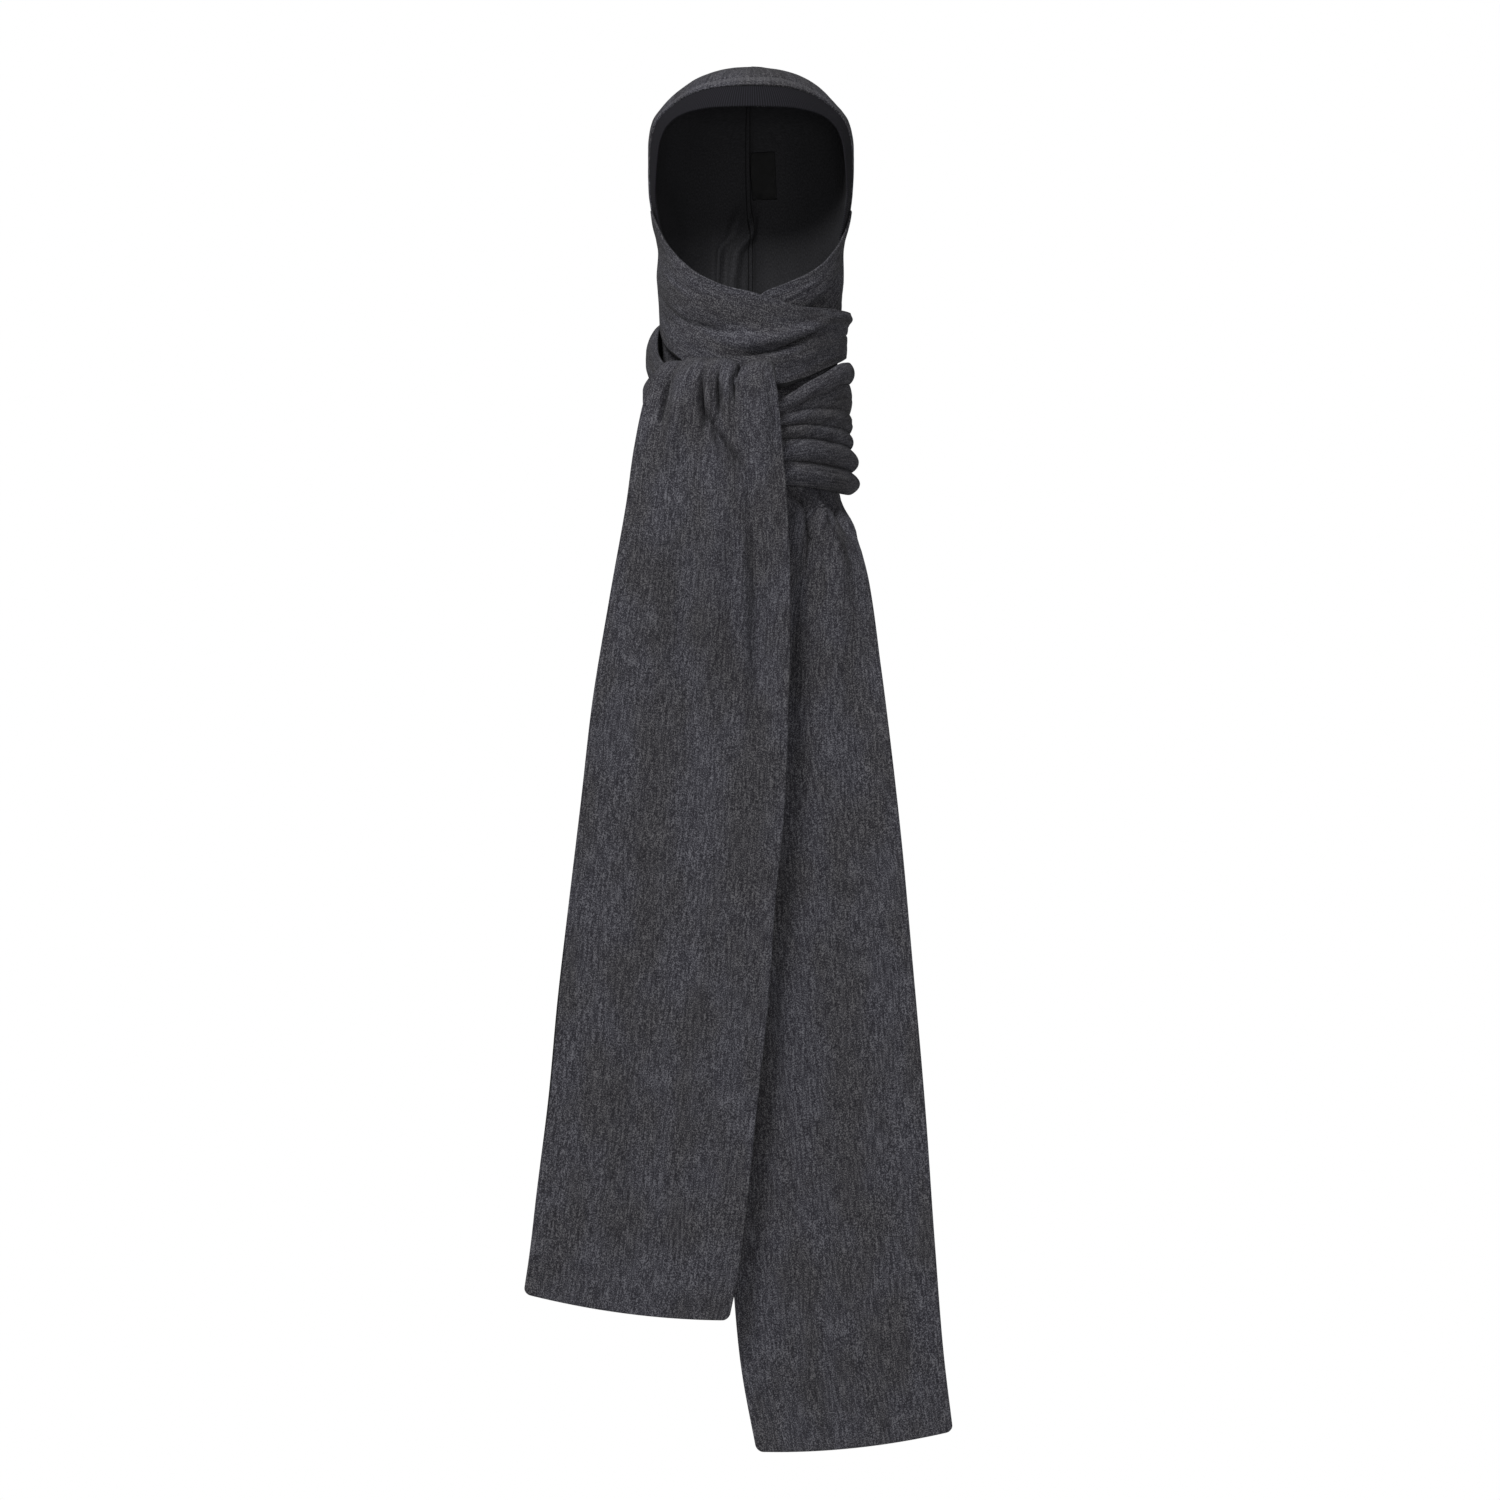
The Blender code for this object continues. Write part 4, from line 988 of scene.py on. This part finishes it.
def inner_relief(form):
    """Relief of the lining's inner face: the seam down its back, a deep wrinkle and slack waves."""

    def relief(turn, drop, above):
        away = (turn % 360.0) - 180.0
        reach = np.radians(away) * form.sizes.hood_back
        middle = np.interp(drop, *LINING_CREASE)
        fold = ridges(CREASE_SIDES, reach - middle) * window(drop, *CREASE_WINDOW)
        slanting = reach + 0.1 * (drop - 0.16)
        fold = fold + ridges(SLANTING_FOLD, slanting) * window(drop, *SLANTING_WINDOW)
        slanting = reach + 0.5 * (drop - 0.065)
        small = ridges(SMALL_FOLD, slanting) * bump((drop - 0.066) / 0.012)
        u = np.radians(turn) * form.sizes.hood_width / 2
        slack = 0.0018 * (1 + noise(u, drop / 2.2, 8, 0.035)) + 0.0004 * (1 + noise(u, drop, 9, 0.014))
        sunk = ridges(BACK_SEAM, reach) - fold - small - slack - LINING_SINK
        return sunk * window(above, 0.0, 0.02, 9.0, 10.0)

    return relief


def band_piece(form):
    """The forehead band: it runs on from the hood's front edge, square to it, and ends in a rolled rim."""
    sizes = form.sizes
    limit = TEMPLE_TURN - BAND_STOP
    dense = np.append(np.linspace(0.0, limit, 800), np.full(80, limit))
    deep = form.edge(dense)
    deep[800:] += np.linspace(0.0, BAND_TUCK, 81)[1:]
    line = form.around(dense, deep, 0.0)
    length = run_length(line)
    even = np.linspace(0.0, length[-1], 190)
    half = np.interp(even, length, dense)
    down = np.interp(even, length, deep)
    turn = np.concatenate((-half[:0:-1], half))
    drop = np.concatenate((down[:0:-1], down))
    under = -0.0027 * np.clip((drop - 0.75 * sizes.temple_drop) / (0.25 * sizes.temple_drop), 0.0, 1.0)
    radius = sizes.hood_width / 2
    run = np.gradient(np.radians(turn) * radius)
    fall = np.gradient(drop)
    size = np.hypot(run, fall)
    reach = np.linspace(0.0003, sizes.band_width, 24)[:, None]
    place = turn - np.degrees(fall / size * reach / radius)
    share = reach / sizes.band_width
    points = form.around(place, drop + run / size * reach, np.minimum(-share * sizes.band_cloth, under))
    normal = grid_normals(points)
    away = np.sum(normal * points * (1.0, 1.0, 0.0), axis=-1, keepdims=True)
    normal = np.where(away < 0, -normal, normal)
    along = run_length(points[0])
    ease = rim_height(np.minimum(along, along[-1] - along), 0.0012)[None, :]
    ease = ease * rim_height(np.minimum(reach, sizes.band_width - reach + 1e-9), 0.0009)
    uv = np.stack(np.broadcast_arrays(along[None, :], reach), axis=-1)
    height = ease * sizes.band_cloth / 2
    rim = 1000 * (sizes.band_width - reach) + 0 * ease
    turned = [np.swapaxes(value, 0, 1) for value in (points, normal, height, uv, rim)]
    points, normal, height, uv, rim = turned
    return ring_mesh("rib_band", points, normal, height, uv, {"rim": rim}, {"rim": rim})


def label_piece(form):
    """The bare label: a small rectangle on the lining, a little askew, bowed free between its stitches."""
    sizes = form.sizes
    tilt = math.radians(sizes.label_tilt)
    u = np.linspace(-0.5, 0.5, 40)[None, :] * sizes.label_width
    v = np.linspace(-0.5, 0.5, 60)[:, None] * sizes.label_height
    aside = u * math.cos(tilt) - v * math.sin(tilt)
    turn = sizes.label_turn + np.degrees(aside / sizes.hood_back)
    drop = sizes.label_drop + u * math.sin(tilt) + v * math.cos(tilt)
    row = form.row(drop)
    middle = form.shell(turn, row)
    normal = shell_normals(form, turn, row)
    inner = -sizes.shell / 2 - sizes.gap - sizes.lining
    under = inner + inner_relief(form)(turn, drop, form.edge(turn) - drop) - 0.0007
    bow = 0.0009 * bump(2 * u / sizes.label_width) ** 0.5 * bump(2 * v / sizes.label_height) ** 0.5
    points = middle + normal * (under - bow)[..., None]
    rim = np.minimum(sizes.label_width / 2 - np.abs(u), sizes.label_height / 2 - np.abs(v))
    height = sizes.label_cloth / 2 * rim_height(rim, 0.0008)
    uv = np.stack(np.broadcast_arrays(u, v), axis=-1)
    flat = {"rim": 1000 * rim}
    return ring_mesh("sewn_label", points, normal, height, uv, flat, flat)


class Value:
    """A shader socket that takes part in sums, differences, products and powers."""

    def __init__(self, cloth, socket):
        self.cloth = cloth
        self.socket = socket

    def maths(self, operation, first, second):
        """A Math node of two numbers or sockets."""
        return self.cloth.add("ShaderNodeMath", {"operation": operation}, {0: first, 1: second})

    def __add__(self, other):
        return self.maths("ADD", self, other)

    def __sub__(self, other):
        return self.maths("SUBTRACT", self, other)

    def __rsub__(self, other):
        return self.maths("SUBTRACT", other, self)

    def __mul__(self, other):
        return self.maths("MULTIPLY", self, other)

    def __truediv__(self, other):
        return self.maths("DIVIDE", self, other)

    def __pow__(self, other):
        return self.maths("POWER", self, other)

    __radd__ = __add__
    __rmul__ = __mul__


class Cloth:
    """A procedural cloth material under construction."""

    def __init__(self, name, roughness, sheen, tint):
        self.material = bpy.data.materials.new(name)
        self.material.use_nodes = True
        self.tree = self.material.node_tree
        self.shader = self.tree.nodes["Principled BSDF"]
        self.shader.inputs["Roughness"].default_value = roughness
        self.shader.inputs["Sheen Weight"].default_value = sheen
        self.shader.inputs["Sheen Roughness"].default_value = 0.6
        self.shader.inputs["Sheen Tint"].default_value = (*tint, 1.0)
        self.shader.inputs["Specular IOR Level"].default_value = 0.25

    def put(self, socket, value):
        """Links a value to a socket, or sets the socket to it."""
        if isinstance(value, Value):
            self.tree.links.new(value.socket, socket)
        elif socket.type == "RGBA" and len(value) == 3:
            socket.default_value = (*value, 1.0)
        else:
            socket.default_value = value

    def add(self, kind, settings=None, inputs=None, output=0):
        """A node of a type, with its settings first and then its sockets, as the value it gives."""
        node = self.tree.nodes.new(kind)
        for key, value in (settings or {}).items():
            setattr(node, key, value)
        for key, value in (inputs or {}).items():
            self.put(node.inputs[key], value)
        return Value(self, node.outputs[output])

    def millimetres(self, wide=1.0, long=1.0):
        """The cloth's own UV coordinates in millimetres, drawn out by two factors."""
        uv = self.add("ShaderNodeUVMap", {"uv_map": "cloth"})
        scale = (1000.0 / wide, 1000.0 / long, 1.0)
        return self.add("ShaderNodeVectorMath", {"operation": "MULTIPLY"}, {0: uv, 1: scale})

    def space(self, long=1.0):
        """The piece's own Object coordinates in millimetres, drawn out downwards by a factor."""
        place = self.add("ShaderNodeTexCoord", None, None, output=3)
        scale = (1000.0, 1000.0, 1000.0 / long)
        return self.add("ShaderNodeVectorMath", {"operation": "MULTIPLY"}, {0: place, 1: scale})

    def noise(self, vector, scale, detail=2.0, rough=0.5):
        """Noise around 0.5."""
        sockets = {"Vector": vector, "Scale": scale, "Detail": detail, "Roughness": rough}
        return self.add("ShaderNodeTexNoise", {"noise_dimensions": "3D"}, sockets)

    def ramp(self, value, low, high, smoothly=True):
        """0 below low and 1 above high."""
        kind = "SMOOTHSTEP" if smoothly else "LINEAR"
        sockets = {"Value": value, "From Min": low, "From Max": high}
        return self.add("ShaderNodeMapRange", {"interpolation_type": kind}, sockets)

    def mix(self, factor, first, second):
        """A colour between two."""
        return self.add("ShaderNodeMix", {"data_type": "RGBA"}, {0: factor, 6: first, 7: second}, output=2)

    def attribute(self, name):
        """A number that the mesh carries at each point."""
        return self.add("ShaderNodeAttribute", {"attribute_name": name}, output=2)

    def away(self, value, place):
        """How far a number is from a place."""
        return self.add("ShaderNodeMath", {"operation": "ABSOLUTE"}, {0: value - place})

    def sine(self, value):
        """The sine of a number."""
        return self.add("ShaderNodeMath", {"operation": "SINE"}, {0: value})

    def apart(self, vector, axis):
        """One number of a vector."""
        return self.add("ShaderNodeSeparateXYZ", None, {0: vector}, output=axis)

    def finish(self, colour, height, depth, strength=1.0):
        """Joins the colour, and the height in shares of a depth in metres, to the shader."""
        self.put(self.shader.inputs["Base Color"], colour)
        sockets = {"Strength": strength, "Distance": depth, "Height": height}
        self.put(self.shader.inputs["Normal"], self.add("ShaderNodeBump", None, sockets))
        return self.material


def melange(cloth, colours):
    """Colour and height of the brushed melange knit: light and dark fibres over a mean colour."""
    grain = cloth.noise(cloth.space(1.3), 1.05, 2.0, 0.6)
    soft = cloth.noise(cloth.space(1.2), 0.33, 2.0, 0.6)
    wales = cloth.noise(cloth.millimetres(1.0, 9.0), 0.45, 1.0, 0.5)
    blotch = cloth.noise(cloth.millimetres(1.0, 2.0), 0.02, 2.0, 0.5)
    body = grain * 0.66 + soft * 0.12 + wales * 0.22
    light = cloth.ramp(body, 0.505, 0.595)
    dark = cloth.ramp(body, 0.495, 0.415)
    colour = cloth.mix(dark * 0.85, tuple(colours.melange), tuple(colours.shade))
    colour = cloth.mix(light * 0.80, colour, tuple(colours.fleck_and_highlight))
    tone = cloth.mix(cloth.ramp(blotch, 0.35, 0.65), (0.90, 0.89, 0.86), (1.06, 1.07, 1.11))
    kind = {"data_type": "RGBA", "blend_type": "MULTIPLY"}
    return cloth.add("ShaderNodeMix", kind, {0: 1.0, 6: colour, 7: tone}, output=2), body


def jersey(cloth, colours, light):
    """Colour and height of the lining's fine black jersey, with narrow wales; light scales the colour, and
    below 1 it paints the jersey darker as painted shade.
    """
    grain = cloth.noise(cloth.millimetres(1.0, 2.0), 0.9, 2.0, 0.6)
    wale = cloth.sine(cloth.apart(cloth.millimetres(), 0) * 5.2)
    lift = cloth.ramp(grain, 0.35, 0.7)
    darker = tuple(0.72 * light * c for c in colours.lining)
    lighter = tuple(1.4 * light * c for c in colours.lining)
    return cloth.mix(lift, darker, lighter), grain * 0.6 + wale * 0.12


def tail_look(colours):
    """Melange knit outside and black jersey inside, parted at the attribute's zero."""
    cloth = Cloth("melange_knit_lined", 0.95, 0.04, (0.5, 0.5, 0.5))
    grey, height = melange(cloth, colours)
    # The tails' lining is painted at 0.4 of the hood lining's colour: painted shade for the dark gaps where
    # it shows.
    black, low = jersey(cloth, colours, 0.4)
    wave = cloth.noise(cloth.millimetres(), 0.25, 2.0, 0.6)
    side = cloth.ramp(cloth.attribute("lining") + (wave - 0.5) * 0.5, -0.12, 0.12)
    colour = cloth.mix(side, grey, black)
    return cloth.finish(colour, height * (1 - side) + low * side * 0.35, *KNIT_RELIEF)


def hood_look(colours):
    """Melange knit with the hem's line of stitches, and a painted highlight along the hem's raised ridge.
    """
    cloth = Cloth("melange_knit_hood", 0.95, 0.04, (0.5, 0.5, 0.5))
    grey, height = melange(cloth, colours)
    above = cloth.attribute("stitch")
    near = 1 - cloth.ramp(cloth.away(above, 8.0), 0.35, 0.75)
    run = cloth.apart(cloth.millimetres(), 0) / 3.4
    share = cloth.add("ShaderNodeMath", {"operation": "FRACT"}, {0: run})
    thread = cloth.ramp(share, 0.12, 0.2) * (1 - cloth.ramp(share, 0.8, 0.88)) * near
    # A band about 5.5 mm above the edge, over the hem's raised step, is painted lighter towards the light
    # fibres' colour: painted highlight.
    painted_hem_highlight = 1 - cloth.ramp(cloth.away(above, 5.5), 1.0, 3.0)
    colour = cloth.mix(thread * 0.35 + painted_hem_highlight * 0.22, grey, tuple(colours.fleck_and_highlight))
    return cloth.finish(colour, height + thread * 0.25 - near * 0.9, *KNIT_RELIEF)


def lining_look(colours):
    """Fine black jersey with the two lines of a flat seam down its back."""
    cloth = Cloth("black_jersey", 0.85, 0.0, (0.4, 0.4, 0.45))
    colour, height = jersey(cloth, colours, 1.0)
    aside = cloth.away(cloth.attribute("seam"), 4.0)
    line = 1 - cloth.ramp(cloth.away(aside, 2.6), 0.3, 0.9)
    colour = cloth.mix(line * 0.85, colour, tuple(0.15 * c for c in colours.lining))
    return cloth.finish(colour, height - line * 1.5, 0.0006, 0.7)


def band_look(colours):
    """Fine ribs across the band, soft and dark."""
    cloth = Cloth("dark_rib_knit", 0.9, 0.0, (0.5, 0.5, 0.6))
    run = cloth.apart(cloth.millimetres(), 0)
    rib = cloth.sine(run * 3.1)
    grain = cloth.noise(cloth.millimetres(), 0.8, 2.0, 0.6)
    height = rib * 0.5 + grain * 0.5
    darker = tuple(0.55 * c for c in colours.band)
    lighter = tuple(1.45 * c for c in colours.band)
    # The colour follows the height: darker in the rib grooves and lighter on the ribs as painted shade, and
    # varied at random by the grain.
    colour = cloth.mix(cloth.ramp(height, 0.0, 0.75), darker, lighter)
    return cloth.finish(colour, height, 0.0006, 0.8)


def label_look(colours):
    """Woven satin: fine slanting threads, a woven edge and a row of stitches inside it."""
    cloth = Cloth("black_satin_label", 0.45, 0.0, (0.5, 0.5, 0.5))
    mm = cloth.millimetres()
    slant = cloth.apart(mm, 0) * 7.0 + cloth.apart(mm, 1) * 4.0
    thread = cloth.sine(slant)
    rim = cloth.attribute("rim")
    seam = 1 - cloth.ramp(cloth.away(rim, 1.6), 0.25, 0.5)
    grain = cloth.noise(mm, 1.2, 2.0, 0.5)
    darker = tuple(0.8 * c for c in colours.label)
    lighter = tuple(1.5 * c for c in colours.label)
    colour = cloth.mix(cloth.ramp(grain, 0.35, 0.65) * 0.6 + seam * 0.35, darker, lighter)
    return cloth.finish(colour, thread * 0.5 - seam * 1.5, 0.0003, 0.6)


def dress(piece, look, node):
    """Gives a piece its material and its body, and hides the frame's part that it stands for."""
    piece.data.materials.append(look)
    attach(piece, "root")
    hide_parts(node)
    return piece


class SCARF_OT_stage(bpy.types.Operator):
    """Sets the pale floor, the soft light and the camera"""

    bl_idname = "scarf.stage"
    bl_label = "Stage"

    def execute(self, context):
        """A low round floor, a white surround, a large soft light and a long lens."""
        scene = context.scene
        scene.view_settings.view_transform = "Standard"
        mesh = bpy.data.meshes.new("floor")
        turn = np.linspace(0.0, 2 * math.pi, FLOOR_SIDES + 1)[:-1]
        level = np.full(FLOOR_SIDES, FLOOR_LEVEL)
        ring = np.stack((FLOOR_RADIUS * np.cos(turn), FLOOR_RADIUS * np.sin(turn), level), axis=-1)
        mesh.from_pydata(ring.tolist(), [], [list(range(FLOOR_SIDES))])
        floor = bpy.data.objects.new("floor", mesh)
        scene.collection.objects.link(floor)
        plain = bpy.data.materials.new("pale_floor")
        plain.use_nodes = True
        colour = (*scene.scarf_colours.floor, 1.0)
        plain.node_tree.nodes["Principled BSDF"].inputs["Base Color"].default_value = colour
        mesh.materials.append(plain)
        world = bpy.data.worlds.new("studio")
        world.use_nodes = True
        tree = world.node_tree
        surround = tree.nodes["Background"]
        surround.inputs["Color"].default_value = (1.0, 1.0, 1.0, 1.0)
        path = tree.nodes.new("ShaderNodeLightPath")
        bright = tree.nodes.new("ShaderNodeMapRange")
        bright.inputs["To Min"].default_value = SURROUND_LIGHT
        bright.inputs["To Max"].default_value = 1.0
        tree.links.new(path.outputs["Is Camera Ray"], bright.inputs["Value"])
        tree.links.new(bright.outputs["Result"], surround.inputs["Strength"])
        scene.world = world
        self.light(scene, "key", (-1.2, -2.5, 2.3), (0.0, 0.0, -0.5), 1.0, 104.0)
        self.light(scene, "fill", (0.4, -4.5, -0.1), (0.0, 0.0, -0.3), 0.8, 33.0)
        data = bpy.data.cameras.new("camera")
        data.lens = CAMERA_LENS
        data.sensor_width = 36.0
        data.clip_start = 1.0
        data.clip_end = 100.0
        camera = bpy.data.objects.new("camera", data)
        camera.location = CAMERA_PLACE
        camera.rotation_euler = (math.pi / 2, 0.0, 0.0)
        scene.collection.objects.link(camera)
        scene.camera = camera
        return {"FINISHED"}

    def light(self, scene, name, place, aim, size, power):
        """A square soft light turned to a point."""
        data = bpy.data.lights.new(name, "AREA")
        data.shape = "SQUARE"
        data.size = size
        data.energy = power
        lamp = bpy.data.objects.new(name, data)
        way = np.subtract(aim, place)
        lamp.location = place
        level = math.hypot(way[0], way[1])
        lamp.rotation_euler = (math.atan2(level, -way[2]), 0.0, math.atan2(-way[0], way[1]))
        scene.collection.objects.link(lamp)


class SCARF_OT_hood(bpy.types.Operator):
    """Builds the hood's outer cloth and its lining"""

    bl_idname = "scarf.hood"
    bl_label = "Hood"

    def execute(self, context):
        """Two cups of cloth, one inside the other."""
        sizes = context.scene.scarf_sizes
        colours = context.scene.scarf_colours
        form = WornForm(sizes)
        half = sizes.shell / 2
        share, height = cup_rows(FINE_ROWS, COARSE_ROWS)
        cup = hood_piece(form, "hood_cloth", half, -half, share, height, height, outer_relief(form))
        dress(cup, hood_look(colours), "hood_shell")
        top = -half - sizes.gap
        share, height = cup_rows(COARSE_ROWS, FINE_ROWS)
        cup = hood_piece(
            form, "hood_jersey", top, top - sizes.lining, share, height, 1 - height, inner_relief(form)
        )
        dress(cup, lining_look(colours), "hood_lining")
        return {"FINISHED"}


class SCARF_OT_band(bpy.types.Operator):
    """Builds the ribbed forehead band"""

    bl_idname = "scarf.band"
    bl_label = "Forehead band"

    def execute(self, context):
        """One narrow strip along the hood's front edge."""
        piece = band_piece(WornForm(context.scene.scarf_sizes))
        dress(piece, band_look(context.scene.scarf_colours), "forehead_band")
        return {"FINISHED"}


class SCARF_OT_label(bpy.types.Operator):
    """Builds the bare label on the lining"""

    bl_idname = "scarf.label"
    bl_label = "Label"

    def execute(self, context):
        """One small rectangle of satin."""
        sizes = context.scene.scarf_sizes
        piece = label_piece(WornForm(sizes))
        dress(piece, label_look(context.scene.scarf_colours), "label")
        return {"FINISHED"}


class SCARF_OT_tails(bpy.types.Operator):
    """Builds the two lined tails, wound round, tied and hanging"""

    bl_idname = "scarf.tails"
    bl_label = "Tails"

    def execute(self, context):
        """Two long strips, each carried along its own table of lines."""
        sizes = context.scene.scarf_sizes
        form = WornForm(sizes)
        look = tail_look(context.scene.scarf_colours)

        left, length = tail_piece(
            form,
            "left_scarf_tail",
            LEFT_WRAP,
            LEFT_HANG,
            1.0,
            sizes.side_tail_fall,
            -1.0,
            left_relief,
            left_roll,
        )
        dress(left, look, "left_tail")
        0.93 * sizes.tail_width * length
        right, length = tail_piece(
            form,
            "right_scarf_tail",
            RIGHT_WRAP,
            RIGHT_HANG,
            sizes.front_tail_level,
            sizes.front_tail_fall,
            1.0,
            right_relief,
            right_roll,
            FRONT_TOP,
        )
        dress(right, look, "right_tail")
        return {"FINISHED"}


class SCARF_PT_panel(bpy.types.Panel):
    """The scarf's sizes, colours and pieces"""

    bl_label = "Hooded scarf"
    bl_idname = "SCARF_PT_panel"
    bl_space_type = "VIEW_3D"
    bl_region_type = "UI"
    bl_category = "Scarf"

    def draw(self, context):
        """Lists the sizes and colours, then a button for each operator."""
        for group in (context.scene.scarf_sizes, context.scene.scarf_colours):
            for key in group.__annotations__:
                self.layout.prop(group, key)
        for operator in OPERATORS:
            self.layout.operator(operator.bl_idname)


OPERATORS = (SCARF_OT_stage, SCARF_OT_hood, SCARF_OT_band, SCARF_OT_label, SCARF_OT_tails)
CLASSES = (ScarfSizes, ScarfColours, *OPERATORS, SCARF_PT_panel)


def register():
    """Registers the classes and hangs the sizes and colours on the scene."""
    for item in CLASSES:
        bpy.utils.register_class(item)
    bpy.types.Scene.scarf_sizes = bpy.props.PointerProperty(type=ScarfSizes)
    bpy.types.Scene.scarf_colours = bpy.props.PointerProperty(type=ScarfColours)


def unregister():
    """Takes the scene's properties and the classes away."""
    del bpy.types.Scene.scarf_colours
    del bpy.types.Scene.scarf_sizes
    for item in reversed(CLASSES):
        bpy.utils.unregister_class(item)


def main():
    register()
    bpy.ops.scarf.stage()
    bpy.ops.scarf.hood()
    bpy.ops.scarf.band()
    bpy.ops.scarf.label()
    bpy.ops.scarf.tails()


if __name__ == "__main__":
    main()
